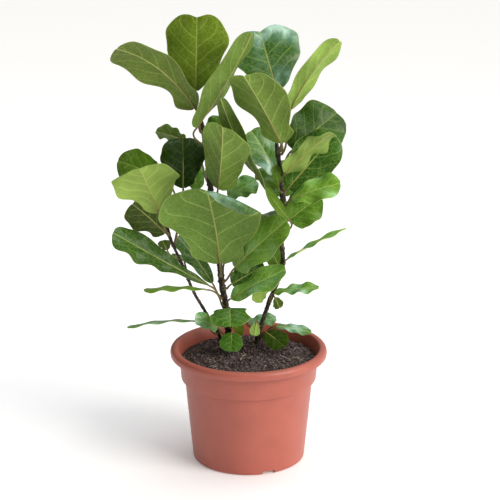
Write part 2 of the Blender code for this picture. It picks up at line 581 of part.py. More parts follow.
def build_pot():
    pot = add_object("pot", *lathe(pot_profile(), POT_SIDES), (0.0, 0.0, 0.0),
                     finish("terracotta_plastic", (0.47, 0.13, 0.09), 0.42), crease_deg=28)
    notches = [foot_notch(FIRST_NOTCH_DEG + 360 * place / FOOT_NOTCHES) for place in range(FOOT_NOTCHES)]
    circle = (PAD_RADIUS + CHANNEL_OUTER_RADIUS) / 2
    drains = []
    for place in range(DRAIN_HOLES):
        angle = math.radians(FIRST_NOTCH_DEG + 360 * (place + 0.5) / DRAIN_HOLES)
        drains.append(post(circle * math.cos(angle), circle * math.sin(angle), CHANNEL_DEPTH - 2 * MM,
                           FLOOR_TOP + 2 * MM, DRAIN_RADIUS, 12))
    add_cutter(pot, "foot_notches_and_drains", *joined(notches + drains))
    return pot


def build_soil(pot):
    soil = add_object("soil", *soil_mesh(), (0.0, 0.0, FLOOR_TOP), finish("potting_mix", (0.035, 0.026, 0.02), 0.95),
                      parent=pot)
    holes = []
    for stem in STEMS.values():
        x, y, z = np.array(stem.points[0]) * MM
        holes.append(post(x, y, z - STEM_BURIED - 0.5 * MM, z + 10 * MM, stem.radius * MM + HOLE_CLEARANCE, 12))
    add_cutter(soil, "stem_holes", *joined(holes))
    return soil


def build_stem(name, soil):
    return add_object("stem_" + name, *skin(stem_rings(name)), np.array(STEMS[name].points[0]) * MM,
                      finish("bark_" + name, (0.05, 0.032, 0.022), 0.8), parent=soil)


def build_leaf(name, one, stem):
    mature, young = np.array((0.05, 0.16, 0.02)), np.array((0.20, 0.34, 0.05))
    colour = young + (mature - young) * one.age
    rings = leaf_rings(one)
    return add_object("leaf_" + name, *skin(rings), rings[0].mean(axis=0), finish("leaf_" + name, colour, 0.38),
                      crease_deg=50, parent=stem)


def main():
    for old in list(bpy.data.objects):
        bpy.data.objects.remove(old, do_unlink=True)
    soil = build_soil(build_pot())
    stems = {name: build_stem(name, soil) for name in STEMS}
    for name, one in LEAVES.items():
        build_leaf(name, one, stems[one.stem])


main()
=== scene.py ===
"""Looks of a potted fiddle leaf fig: broad veined leaves on three woody stems, in potting mix in a moulded
nursery pot. Everything is in metres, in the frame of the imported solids, +Z up."""

import json
import math
from typing import NamedTuple

import bpy
import numpy as np
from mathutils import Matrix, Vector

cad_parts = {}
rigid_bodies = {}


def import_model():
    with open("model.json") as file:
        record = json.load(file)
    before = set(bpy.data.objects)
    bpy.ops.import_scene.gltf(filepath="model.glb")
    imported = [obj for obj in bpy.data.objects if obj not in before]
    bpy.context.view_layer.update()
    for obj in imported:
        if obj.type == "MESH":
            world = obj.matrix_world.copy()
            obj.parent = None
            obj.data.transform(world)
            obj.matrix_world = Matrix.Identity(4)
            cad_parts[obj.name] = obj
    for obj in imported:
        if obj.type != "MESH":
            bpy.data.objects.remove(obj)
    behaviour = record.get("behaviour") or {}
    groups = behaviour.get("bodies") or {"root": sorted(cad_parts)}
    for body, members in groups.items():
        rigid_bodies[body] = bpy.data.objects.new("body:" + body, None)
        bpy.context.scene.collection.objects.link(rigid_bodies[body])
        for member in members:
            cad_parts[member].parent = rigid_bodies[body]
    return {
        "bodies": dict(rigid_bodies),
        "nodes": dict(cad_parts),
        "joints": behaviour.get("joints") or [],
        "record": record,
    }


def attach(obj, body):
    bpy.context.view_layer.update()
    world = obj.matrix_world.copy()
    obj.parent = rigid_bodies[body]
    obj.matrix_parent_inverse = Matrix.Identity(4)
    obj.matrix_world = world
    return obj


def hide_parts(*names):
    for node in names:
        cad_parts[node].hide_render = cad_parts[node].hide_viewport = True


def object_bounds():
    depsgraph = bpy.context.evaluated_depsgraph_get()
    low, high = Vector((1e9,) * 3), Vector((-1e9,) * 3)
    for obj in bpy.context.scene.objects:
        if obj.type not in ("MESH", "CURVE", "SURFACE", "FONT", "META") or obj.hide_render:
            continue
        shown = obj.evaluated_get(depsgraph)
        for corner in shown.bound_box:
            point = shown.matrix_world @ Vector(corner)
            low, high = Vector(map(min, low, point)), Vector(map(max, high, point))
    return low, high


bl_info = {
    "name": "Potted Fiddle Leaf Fig",
    "version": (1, 0, 0),
    "blender": (4, 5, 0),
    "location": "View3D > Sidebar > Fig",
    "description": "Dresses the solids of a potted fiddle leaf fig",
    "category": "Object",
}

MM = 0.001
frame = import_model()
cad_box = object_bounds()

# ---- the plant, in millimetres and degrees ----


class Stem(NamedTuple):
    """A stem: points from the mix up to the growing tip, and its radius at each end."""

    points: list
    radius: float
    tip_radius: float


STEMS = {
    "left": Stem([(-50, 52, 196), (-55, 50, 214), (-79, 46, 258), (-100, 38, 300), (-115, 32, 342),
                  (-138, 26, 400), (-146, 24, 440)], 3.0, 2.3),
    "middle": Stem([(-36, 46, 198), (-37, 44, 220), (-42, 40, 272), (-50, 36, 330), (-56, 34, 405),
                    (-66, 32, 480), (-76, 30, 570), (-80, 30, 604)], 5.6, 3.8),
    "right": Stem([(14, 40, 200), (20, 36, 225), (36, 32, 278), (60, 30, 345), (59, 30, 400), (60, 32, 470),
                   (54, 34, 535), (50, 36, 566)], 3.8, 3.8),
}
STEM_BURIED, BUD_LENGTH = 70 * MM, 16 * MM
STEM_SIDES, STALK_SIDES, PETIOLE_STEPS = 22, 10, 14
NODE_SWELL, NODE_REACH = 1.25, 3.5 * MM
SEAT_GAP = 0.3 * MM
PETIOLE_RADIUS, RIB_SUNK = 2.1 * MM, 0.35 * MM


class Roll(NamedTuple):
    """An edge of a blade that rolls over, beyond a line across it."""

    side: float  # where the line passes, as a share of the blade's half width
    along: float  # and of its length
    bearing: float  # of the side that rolls, from the tip's direction
    radius: float
    degrees: float  # how far round it goes, negative where it rolls under


class Leaf(NamedTuple):
    """A leaf with its petiole."""

    stem: str
    height: float  # where the petiole leaves the stem
    base: tuple  # the ends of the blade
    tip: tuple
    width: float
    faces: tuple  # compass bearing and elevation that the upper side looks at
    bend: float = 20  # arches the midrib away from the upper side
    sweep: float = 0  # bows the midrib sideways
    twist: float = 0  # turns the blade along its length
    fold: float = 12  # lifts each half at the midrib
    curl: float = -12  # and further at the margin
    ruffle: float = 3  # height of the waves in the margin
    waves: float = 3
    phase: float = 0.0
    widest: float = 0.66  # place along the blade
    taper: float = 0.46  # shapes the part below the widest place
    blunt: float = 0.36  # and the part above it
    lobes: float = 0.2  # width beside the petiole
    skew: float = 0.0  # makes the right half the wider
    scallop: float = 0.04  # waves the outline
    notch: float = 0.0  # dents the far end
    roll: Roll = None
    age: float = 0.8  # 0 is the yellow-green of new growth, 1 the deepest green
    cast: float = 0.0  # -1 is olive; 1 is blue-green, on the upper side partly a painted sheen
    tone: float = 1.0  # how light it is; partly painted shade where a leaf lies in others' shadow
    veins: float = 5  # side veins of each half


LEAVES = {
    "crown_1": Leaf("middle", 596, (-90, 24, 634), (-223, -24, 752), 90, (95, 46), bend=62, fold=8, curl=-15,
                    ruffle=5, waves=2, phase=0.3, widest=0.7, taper=0.42, blunt=0.34, lobes=0.34, age=0.7,
                    cast=-0.8, tone=0.88),
    "crown_2": Leaf("middle", 600, (-93, 50, 660), (-90, 80, 788), 112, (-92, 15), bend=-10, fold=8,
                    curl=-16, ruffle=4, waves=2, phase=0.6, widest=0.7, taper=0.44, blunt=0.3, lobes=0.05,
                    notch=5, age=0.62, cast=-1, tone=1.12),
    "crown_3": Leaf("middle", 574, (-94, 8, 602), (7, 3, 774), 68, (142, 8), bend=-12, fold=32, ruffle=4,
                    waves=2, widest=0.55, taper=0.5, lobes=0.15, age=0.62, cast=0.1, tone=0.8),
    "right_1": Leaf("right", 558, (58, 8, 576), (-8, -42, 709), 112, (58, 12), bend=12, fold=24, curl=-14,
                    ruffle=4, waves=2, phase=0.2, widest=0.68, taper=0.44, blunt=0.3, lobes=0.25, age=0.6,
                    cast=-0.3, tone=1.1),
    "right_2": Leaf("right", 558, (50, 60, 658), (20, 84, 762), 122, (-85, 10), bend=10, fold=6, ruffle=6,
                    waves=2, phase=0.35, widest=0.68, taper=0.45, blunt=0.27, lobes=0.05, skew=0.05, notch=6,
                    age=0.95, cast=1, tone=1.2),
    "right_3": Leaf("right", 552, (72, 36, 630), (157, 20, 757), 46, (110, 18), bend=10, sweep=20, fold=25,
                    ruffle=5, waves=2, phase=0.1, widest=0.62, taper=0.42, lobes=0.35, age=0.4, tone=1.12),
    "right_4": Leaf("right", 524, (76, 72, 550), (158, 120, 608), 98, (-78, 38), bend=25, ruffle=6, waves=2,
                    phase=0.7, widest=0.6, taper=0.42, blunt=0.3, age=0.95, tone=0.7),
    "right_5": Leaf("right", 508, (62, 14, 522), (143, -20, 605), 52, (115, 30), bend=25, sweep=-12,
                    ruffle=6, waves=2.5, phase=0.15, widest=0.6, taper=0.5, lobes=0.45, scallop=0.12,
                    age=0.25, tone=0.8),
    "right_6": Leaf("right", 477, (68, 46, 486), (151, 60, 582), 84, (-60, 45), bend=0, fold=15, ruffle=5,
                    waves=2, phase=0.4, widest=0.6, taper=0.5, age=1, tone=1.1),
    "right_7": Leaf("right", 459, (74, 18, 476), (160, 0, 510), 56, (-60, 50), bend=15, ruffle=6, waves=2,
                    phase=0.55, blunt=0.5, age=0.45, cast=0.35, tone=1.7),
    "right_8": Leaf("right", 425, (70, 36, 432), (128, 60, 470), 68, (-30, 45), bend=10, fold=20, ruffle=4,
                    waves=2, widest=0.52, blunt=0.6, age=0.75, tone=1.25),
    "upper_1": Leaf("middle", 468, (-54, -8, 498), (-44, -50, 622), 95, (60, 10), bend=15, fold=24, ruffle=4,
                    waves=2, phase=0.8, taper=0.42, lobes=0.3, age=0.6, cast=-0.1, tone=1.1),
    "front_1": Leaf("middle", 330, (-50, 0, 358), (-73, -64, 520), 186, (80, 15), bend=35, fold=5, curl=-16,
                    ruffle=5, waves=2, phase=0.1, widest=0.68, taper=0.5, scallop=0.02,
                    roll=Roll(0.0, 0.93, -22, 7, -220), cast=0.8, tone=0.98, veins=4.5),
    "left_1": Leaf("left", 411, (-157, 4, 452), (-187, -40, 547), 120, (84, -8), bend=30, curl=-18, ruffle=5,
                   waves=2, phase=0.25, widest=0.72, taper=0.5, blunt=0.24, lobes=0.1, age=0.15, tone=0.93),
    "left_2": Leaf("left", 388, (-158, 44, 512), (-231, 60, 535), 64, (-100, 25), bend=30, ruffle=4, waves=2,
                   widest=0.6, blunt=0.5, age=0.75, cast=-0.3),
    "left_3": Leaf("middle", 500, (-112, 114, 558), (-166, 112, 576), 44, (90, 40), fold=20, cast=-0.4,
                   tone=0.95),
    "left_4": Leaf("middle", 452, (-116, 42, 488), (-116, 49, 579), 82, (-80, 5), bend=15, fold=15, ruffle=5,
                   waves=2, phase=0.5, widest=0.68, taper=0.52, blunt=0.32, age=1, tone=0.45),
    "left_5": Leaf("left", 386, (-146, 34, 408), (-205, 24, 466), 74, (95, 15), ruffle=4, waves=2, phase=0.3,
                   age=0.95, cast=-0.6, tone=0.6),
    "left_6": Leaf("left", 356, (-146, 50, 372), (-154, 44, 392), 24, (90, 30), ruffle=1, cast=-0.6,
                   tone=0.8),
    "front_2": Leaf("middle", 288, (-64, 44, 310), (-128, 70, 392), 40, (-60, 30), age=1, cast=0.4,
                    tone=1.25),
    "left_7": Leaf("middle", 288, (-66, 14, 315), (-238, -10, 423), 54, (-110, 50), bend=-5, ruffle=5,
                   waves=4, widest=0.74, taper=0.62, lobes=0.12, scallop=0.07, age=1, tone=0.95, veins=9),
    "left_8": Leaf("middle", 273, (-70, -18, 320), (-183, -44, 327), 36, (90, 84), fold=5, ruffle=2,
                   age=0.4),
    "left_9": Leaf("left", 215, (-88, 24, 246), (-216, -10, 246), 30, (90, 78), fold=8, ruffle=1.5,
                   widest=0.6, lobes=0.4, age=0.6, cast=0.7, tone=1.2),
    "low_1": Leaf("middle", 254, (-34, 4, 278), (-32, -44, 260), 72, (-90, 57), ruffle=2, waves=1.5,
                  widest=0.58, lobes=0.3, age=1, tone=1.5, veins=4),
    "low_2": Leaf("middle", 209, (-30, 4, 232), (-32, -24, 206), 42, (-90, 45), bend=10, ruffle=1,
                  widest=0.58, taper=0.4, age=0.95, tone=1.3, veins=4),
    "low_3": Leaf("right", 208, (32, 10, 230), (64, -16, 212), 43, (-80, 50), ruffle=1, widest=0.58,
                  taper=0.4, age=1, cast=-0.4, tone=0.45, veins=4),
    "low_4": Leaf("right", 214, (48, 20, 238), (112, 6, 231), 23, (-90, 65), ruffle=1.5, age=0.9, cast=1,
                  tone=1.4, veins=4),
    "low_5": Leaf("right", 222, (-2, 50, 234), (50, 56, 240), 30, (-90, 60), ruffle=2, cast=0.6, tone=1.35,
                  veins=4),
    "low_6": Leaf("right", 234, (14, 16, 248), (10, 0, 228), 20, (90, 20), bend=10, ruffle=1, age=0.6,
                  cast=0.6, veins=4),
    "low_7": Leaf("middle", 229, (-30, 30, 238), (-10, 40, 222), 28, (-90, 50), bend=10, ruffle=1, age=0.2,
                  cast=-0.8, tone=0.55, veins=4),
    "low_8": Leaf("middle", 213, (-56, 18, 236), (-96, 2, 262), 32, (-100, 50), ruffle=1.5, lobes=0.5,
                  age=0.6, cast=0.7, tone=1.65, veins=4),
    "right_9": Leaf("right", 288, (44, 16, 302), (124, -10, 320), 32, (-90, 72), fold=15, age=0.55, cast=0.8,
                    tone=1.7),
    "mid_1": Leaf("middle", 303, (-32, 36, 312), (28, 60, 340), 62, (-60, 35), ruffle=4, age=1),
    "mid_2": Leaf("middle", 271, (-34, 16, 291), (66, 0, 351), 56, (-100, 60), bend=15, ruffle=4, waves=2,
                  age=0.7, cast=0.3, tone=1.8),
    "mid_3": Leaf("middle", 319, (-26, -2, 354), (66, -44, 455), 66, (-70, 45), ruffle=5, waves=2, phase=0.3,
                  widest=0.6, age=0.5, cast=0.1, tone=1.15),
    "mid_4": Leaf("right", 336, (56, 44, 340), (34, 60, 378), 50, (-60, 40), bend=10, age=0.85, cast=-0.3,
                  tone=0.95),
    "mid_5": Leaf("right", 304, (34, 16, 314), (10, 12, 288), 30, (90, 40), bend=10, fold=5, ruffle=1,
                  age=0.4, tone=1.2),
    "right_10": Leaf("right", 356, (66, 24, 362), (172, 10, 424), 24, (-80, 86), bend=10, fold=18, ruffle=2,
                     scallop=0.1, age=0.25, cast=1, tone=1.9),
    "right_11": Leaf("right", 412, (74, 7, 438), (-48, -12, 664), 54, (12, 12), bend=-22, twist=100, fold=15,
                     widest=0.42, age=0.6, cast=-0.2, tone=0.9, veins=10),
    "right_12": Leaf("right", 480, (52, 68, 506), (4, 84, 584), 62, (-70, 30), ruffle=5, waves=2, cast=1,
                     tone=1.5),
    "right_13": Leaf("right", 486, (52, 12, 502), (44, 4, 540), 26, (-60, 50), ruffle=1.5, age=0.4,
                     tone=0.4),
    "right_14": Leaf("right", 282, (47, 8, 297), (55, 0, 280), 24, (90, 40), bend=10, ruffle=1, age=0.4,
                     tone=0.8, veins=4),
    "crown_4": Leaf("middle", 565, (-72, 50, 580), (-46, 60, 612), 40, (-90, 40)),
    "upper_2": Leaf("middle", 455, (-38, 42, 474), (14, 60, 498), 44, (-60, 55), cast=0.4, tone=2.1),
    "upper_5": Leaf("middle", 438, (-90, 80, 476), (-104, 90, 518), 44, (-80, 40), cast=0.3, tone=2.1),
    "back_1": Leaf("middle", 490, (-54, 96, 532), (-32, 150, 550), 84, (-90, 50), bend=40, ruffle=5),
    "back_2": Leaf("right", 398, (66, 112, 452), (52, 178, 502), 90, (-90, 45), bend=40, ruffle=5),
    "back_3": Leaf("middle", 396, (-74, 80, 430), (-108, 150, 432), 88, (-100, 60), bend=40, ruffle=5),
    "back_4": Leaf("right", 382, (48, 80, 416), (24, 150, 408), 90, (-80, 65), bend=40, ruffle=5, tone=0.9),
    "back_5": Leaf("middle", 306, (-44, 90, 338), (-26, 160, 358), 95, (-90, 60), bend=45, ruffle=5),
    "back_6": Leaf("left", 324, (-116, 80, 348), (-108, 140, 322), 70, (-90, 70), bend=30, ruffle=4),
}

# ---- the pot and its mix, in millimetres ----

# The pot's section as (radius, height), from the foot up past the collar's ledge to the hollow lip, then down
# the inside. The wall and the collar are straight between these.
POT_UNDERSIDE = [(0, 0), (58, 0), (59.5, 7), (84, 7), (85.5, 0)]
POT_FOOT = [(97.2, 0), (99.2, 0.4), (100.6, 1.6), (101.2, 4.5)]
POT_LEDGE = [(115.0, 149.8), (119.8, 150.4), (120.7, 150.8), (121.2, 151.5), (121.4, 152.4)]
POT_HOLLOW = [(124.8, 190), (125.7, 197), (127.0, 202.0), (129.4, 204.3), (133, 204.8), (136.0, 204.0),
              (137.3, 201.4), (137.8, 196.5), (137.9, 193.4)]
POT_LIP = [(139.2, 193.4), (139.8, 193.9), (140.2, 195.2), (140.5, 198), (140.4, 200.8), (139.8, 203.4),
           (138.3, 205.8), (136, 207.3), (133, 208), (130.4, 207.9), (128.4, 207.2), (127.1, 205.9)]
POT_INSIDE = [(126.4, 204), (124.4, 200), (122.2, 190), (118.8, 155.4), (112.4, 152.4), (98.9, 13)]
POT_FLOOR = [(95.6, 10), (0, 10)]
POT_RADIUS, POT_HEIGHT = 140.5, 208
POT_SIDES = 180
NOTCH_WIDTH, NOTCH_HEIGHT, NOTCH_ROUND = 24 * MM, 6.3 * MM, 3 * MM
NOTCH_RADII, NOTCH_BELOW = (79 * MM, 110 * MM), -5 * MM
NOTCH_ANGLES = [math.radians(-69 + 120 * place) for place in range(3)]
DRAIN_RADIUS, DRAIN_CIRCLE, DRAIN_SIDES = 5 * MM, 71 * MM, 24
DRAIN_HEIGHTS = (3 * MM, 14 * MM)
DRAIN_ANGLES = [math.radians(-39 + 60 * place) for place in range(6)]
SOIL_EDGE, SOIL_MOUND, SOIL_BUMP = 184 * MM, 14 * MM, 1.6 * MM
SOIL_GAP, SOIL_BEVEL, SOIL_BOTTOM = 0.4 * MM, 3.2 * MM, 10.4 * MM
SOIL_SIDES, SOIL_RINGS, SOIL_STREWN = 150, 62, 0.985
# Heights at which the mix turns with the pot's wall, below its top, and how far above them it does so.
SOIL_TURNS, SOIL_ABOVE = (170, 155.4, 152.4, 80, 13), 0.5
SOIL_SEED = 7

# ---- settings that a user changes ----


def linear(colour):
    """Linear colour of an sRGB hex value."""
    shares = [int(colour[place : place + 2], 16) / 255 for place in (1, 3, 5)]
    return tuple(c / 12.92 if c <= 0.04045 else ((c + 0.055) / 1.055) ** 2.4 for c in shares) + (1.0,)


class FigLeafSettings(bpy.types.PropertyGroup):
    """Sizes and colours of the leaves."""

    thickness: bpy.props.FloatProperty(
        name="Thickness", description="Thickness of the blade", default=0.8 * MM, min=0.1 * MM,
        unit="LENGTH")
    pucker: bpy.props.FloatProperty(
        name="Pucker", description="How far the blade swells up between its side veins", default=0.7 * MM,
        unit="LENGTH")
    vein_ridge: bpy.props.FloatProperty(
        name="Vein ridge", description="How far the side veins stand out below", default=0.45 * MM,
        unit="LENGTH")
    cell: bpy.props.FloatProperty(
        name="Cell", description="Length of one mesh cell along the blade", default=2.6 * MM, min=0.5 * MM,
        unit="LENGTH")
    upper_deep: bpy.props.FloatVectorProperty(
        name="Upper side, mature", description="Colour of the upper side of an old leaf", subtype="COLOR",
        default=linear("#2e5714")[:3])
    upper_young: bpy.props.FloatVectorProperty(
        name="Upper side, young", description="Colour of the upper side of a new leaf", subtype="COLOR",
        default=linear("#74a027")[:3])
    under_deep: bpy.props.FloatVectorProperty(
        name="Lower side, mature", description="Colour of the lower side of an old leaf", subtype="COLOR",
        default=linear("#50772a")[:3])
    under_young: bpy.props.FloatVectorProperty(
        name="Lower side, young", description="Colour of the lower side of a new leaf", subtype="COLOR",
        default=linear("#9cb956")[:3])


class FigBarkSettings(bpy.types.PropertyGroup):
    """Sizes of the stems' bark."""

    relief: bpy.props.FloatProperty(
        name="Bark relief", description="Depth of the bark's ridges", default=0.8 * MM, unit="LENGTH")
    scar_spacing: bpy.props.FloatProperty(
        name="Scar spacing", description="Distance between leaf scars along a stem", default=10 * MM,
        min=2 * MM, unit="LENGTH")


class FigSoilSettings(bpy.types.PropertyGroup):
    """Sizes of the potting mix."""

    relief: bpy.props.FloatProperty(
        name="Relief", description="Height of the mix's lumps", default=3 * MM, unit="LENGTH")
    crumb_size: bpy.props.FloatProperty(
        name="Crumb size", description="Radius of a middling crumb", default=2.2 * MM, min=0.5 * MM,
        unit="LENGTH")
    crumb_density: bpy.props.FloatProperty(
        name="Crumb density", description="Crumbs on each square metre", default=46000, min=0)
    perlite_density: bpy.props.FloatProperty(
        name="Perlite density", description="Perlite grains on each square metre", default=5200, min=0)
    fibre_density: bpy.props.FloatProperty(
        name="Fibre density", description="Fibres on each square metre", default=1500, min=0)


class FigPotSettings(bpy.types.PropertyGroup):
    """Finish of the pot."""

    colour: bpy.props.FloatVectorProperty(
        name="Colour", description="Colour of the moulded plastic", subtype="COLOR",
        default=linear("#ae5c4c")[:3])
    roughness: bpy.props.FloatProperty(
        name="Roughness", description="Roughness of the moulded skin", default=0.42, min=0, max=1,
        subtype="FACTOR")


# ---- nodes ----


def feed(tree, node, inputs):
    """Gives each socket its value, or links it to a node, an output socket or each of a list of them."""
    for name, value in inputs.items():
        for source in value if isinstance(value, list) else [value]:
            if isinstance(source, bpy.types.Node):
                source = source.outputs[0]
            if isinstance(source, bpy.types.NodeSocket):
                tree.links.new(source, node.inputs[name])
            else:
                node.inputs[name].default_value = source


def add_node(tree, kind, inputs=None, stops=(), **settings):
    """Adds a node with its settings, and feeds its sockets. Stops are a ramp's (place, hex colour)."""
    node = tree.nodes.new(kind)
    for name, value in settings.items():
        setattr(node, name, value)
    if stops:
        elements = node.color_ramp.elements
        while len(elements) < len(stops):
            elements.new(0.5)
        for element, (place, colour) in zip(elements, stops):
            element.position = place
            element.color = linear(colour)
    feed(tree, node, inputs or {})
    return node


def every(size):
    """The scale of a pattern whose cells are so many millimetres across, in whole cells to the metre."""
    return round(1 / (size * MM))


# The node behind each word of a step that isn't a Math node's operation: its kind, the sockets that the
# step's values go to, its output and its settings.
STEP_NODES = {
    "RANGE": ("ShaderNodeMapRange", ("Value", "From Min", "From Max", "To Min", "To Max"), 0, {}),
    "MIX": ("ShaderNodeMix", (0, 6, 7), 2, {"data_type": "RGBA"}),
    "SCALE": ("ShaderNodeVectorMath", (0, "Scale"), 0, {"operation": "SCALE"}),
    "NOISE": ("ShaderNodeTexNoise", ("Vector", "Scale", "Detail", "Roughness"), 0, {}),
    "BUMP": ("ShaderNodeBump", ("Height", "Strength", "Distance"), 0, {}),
}


def add_steps(tree, found, steps):
    """Adds a node for each step and keeps its output under the step's name. The values that follow the
    step's word are numbers, hex colours or the names of what is already found."""
    for name, word, *values in steps:
        maths = ("ShaderNodeMath", (0, 1, 2), 0, {"operation": word})
        kind, sockets, output, settings = STEP_NODES.get(word, maths)
        sources = {}
        for socket, value in zip(sockets, values):
            if isinstance(value, str):
                value = linear(value) if value.startswith("#") else found[value]
            sources[socket] = value
        found[name] = add_node(tree, kind, sources, **settings).outputs[output]


def new_material(name, constants):
    """A material with a Principled shader, and the settings that are the same all over it."""
    material = bpy.data.materials.new(name)
    material.use_nodes = True
    tree = material.node_tree
    shader = tree.nodes["Principled BSDF"]
    feed(tree, shader, constants)
    return material, tree, shader


def new_tree(name, sizes, *attributes):
    """A Geometry Nodes tree that takes and gives a mesh, with an input for each size; and what its steps
    start from, its inputs and the mesh's attributes by name."""
    tree = bpy.data.node_groups.new(name, "GeometryNodeTree")
    for way in ("INPUT", "OUTPUT"):
        tree.interface.new_socket("Geometry", in_out=way, socket_type="NodeSocketGeometry")
    for label, value in sizes.items():
        kind = "NodeSocketInt" if isinstance(value, int) else "NodeSocketFloat"
        tree.interface.new_socket(label, in_out="INPUT", socket_type=kind).default_value = value
    given = tree.nodes.new("NodeGroupInput")
    found = {socket.name: socket for socket in given.outputs if socket.name}
    for label in attributes:
        found[label] = add_node(tree, "GeometryNodeInputNamedAttribute", {"Name": label},
                                data_type="FLOAT").outputs[0]
    return tree, found


def add_tube(tree, guide, sides, thick):
    """The curve along a guide's edges, and a closed tube round it."""
    line = add_node(tree, "GeometryNodeMeshToCurve", {"Mesh": guide})
    ring = add_node(tree, "GeometryNodeCurvePrimitiveCircle", {"Resolution": sides, "Radius": 1.0},
                    mode="RADIUS")
    tube = add_node(tree, "GeometryNodeCurveToMesh", {
        "Curve": line, "Profile Curve": ring, "Scale": thick, "Fill Caps": True})
    return line, tube


def close_tree(tree, parts, *paints):
    """Joins the parts, makes their instances real and lays on the paints, each a material and where it
    goes."""
    whole = add_node(tree, "GeometryNodeJoinGeometry", {"Geometry": parts})
    whole = add_node(tree, "GeometryNodeRealizeInstances", {"Geometry": whole})
    for material, selection in paints:
        whole = add_node(tree, "GeometryNodeSetMaterial", {
            "Geometry": whole, "Material": material, "Selection": selection})
    add_node(tree, "NodeGroupOutput", {"Geometry": whole})
    return tree


# ---- meshes ----


def add_object(name, mesh):
    """A new object in the scene."""
    piece = bpy.data.objects.new(name, mesh)
    bpy.context.scene.collection.objects.link(piece)
    return piece


def new_mesh(name, points, edges, faces, **attributes):
    """A mesh with one float or vector attribute on its points for each named list."""
    mesh = bpy.data.meshes.new(name)
    mesh.from_pydata([tuple(map(float, point)) for point in points], edges, faces)
    for label, values in attributes.items():
        values = np.asarray(values, np.float32)
        kind, slot = ("FLOAT_VECTOR", "vector") if values.ndim == 2 else ("FLOAT", "value")
        mesh.attributes.new(label, kind, "POINT").data.foreach_set(slot, values.ravel())
    return mesh


def evaluated_mesh(piece):
    """The plain mesh that a piece's modifiers make."""
    graph = bpy.context.evaluated_depsgraph_get()
    return bpy.data.meshes.new_from_object(piece.evaluated_get(graph))


def grown(name, guide, tree, sizes):
    """The plain mesh object that a tree makes from a guide mesh, with the tree's inputs set by name."""
    holder = add_object(name, guide)
    modifier = holder.modifiers.new("grown", "NODES")
    modifier.node_group = tree
    identifiers = {item.name: item.identifier for item in tree.interface.items_tree if item.in_out == "INPUT"}
    for label, value in sizes.items():
        modifier[identifiers[label]] = value
    mesh = evaluated_mesh(holder)
    bpy.data.objects.remove(holder)
    return add_object(name, mesh)


def settle(piece, slot, *nodes, crease):
    """Finishes a piece: smooth but for its real edges, riding on the plant and shown in place of CAD
    nodes."""
    piece.data.shade_smooth()
    piece.data.set_sharp_from_angle(angle=math.radians(crease))
    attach(piece, "root")
    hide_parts(*nodes)


# ---- curves ----


def unit(vector):
    """The vector at length 1."""
    return vector / np.linalg.norm(vector)


def turned(vector, axis, degrees):
    """The vector turned about a unit axis, by Rodrigues' formula."""
    angle = math.radians(degrees)
    along = axis * np.dot(axis, vector)
    return along + (vector - along) * math.cos(angle) + np.cross(axis, vector) * math.sin(angle)


def smooth_step(low, high, value):
    """A share that eases from 0 at the low value to 1 at the high one."""
    share = np.clip((value - low) / (high - low), 0.0, 1.0)
    return share * share * (3 - 2 * share)


def spline(points, count):
    """Points on a Catmull-Rom curve through the given ones."""
    points = np.asarray(points, float)
    padded = np.vstack([2 * points[0] - points[1], points, 2 * points[-1] - points[-2]])
    found = []
    for place in np.linspace(0, len(points) - 1 - 1e-9, count):
        first = int(place)
        t = place - first
        a, b, c, d = padded[first : first + 4]
        found.append(0.5 * (2 * b + (c - a) * t + (2 * a - 5 * b + 4 * c - d) * t**2
                            + (3 * b - a - 3 * c + d) * t**3))
    return np.array(found)


def stem_at(stem, height):
    """Centre, direction and radius of a stem at a height."""
    line = spline(np.array(stem.points) * MM, 200)
    index = min(max(int(np.searchsorted(line[:, 2], height)), 1), len(line) - 1)
    before, after = line[index - 1], line[index]
    share = min(1.0, max(0.0, (height - before[2]) / (after[2] - before[2])))
    along = (height - line[0, 2]) / (line[-1, 2] - line[0, 2])
    radius = (stem.radius + (stem.tip_radius - stem.radius) * along) * MM
    return before + (after - before) * share, unit(after - before), radius


# ---- leaves ----

# Places along a blade, as shares of its length: its first and last rows, between which the rows crowd
# towards the tip; its lobes and how far they reach; where it first has its full width; the place that stays
# unturned where a blade twists; and where the dent of a notch begins.
BLADE_START, BLADE_END, ROW_CROWDING = 0.03, 0.996, 1.35
LOBE_PLACE, LOBE_REACH, BASE_REACH = 0.13, 0.09, 0.05
TWIST_CENTRE, NOTCH_START = 0.4, 0.75
# How far the right half's scallops and waves run ahead of the left one's, as shares of a beat.
SCALLOP_SHIFT, WAVE_SHIFT = 0.45, 0.37
# How steeply the waves rise towards the margin, and how finely a curl is worked out.
WAVE_RISE, CURL_STEPS = 1.6, 8
# How far the side veins run ahead by the margin: a straight part and a bent one.
VEIN_SLANT, VEIN_ARCH = 0.27, 0.1


def half_width(one, t, u):
    """Half the outline's width on the side of u at a share t of the blade's length, about 1 at the widest: a
    broad far end, a waist, and small lobes beside the petiole."""
    rise = max(math.sin(math.pi * t ** (math.log(0.5) / math.log(one.widest))), 0.0)
    main = rise ** (one.taper if t < one.widest else one.blunt)
    lobe = one.lobes * math.exp(-(((t - LOBE_PLACE) / LOBE_REACH) ** 2))
    beat = 2 * math.pi * ((one.waves + 0.6) * t + 1.7 * one.phase + (SCALLOP_SHIFT if u > 0 else 0.0))
    uneven = 1 + math.copysign(one.skew, u) + one.scallop * math.sin(beat)
    return (main + lobe) * uneven * min(1.0, math.sqrt(t / BASE_REACH))


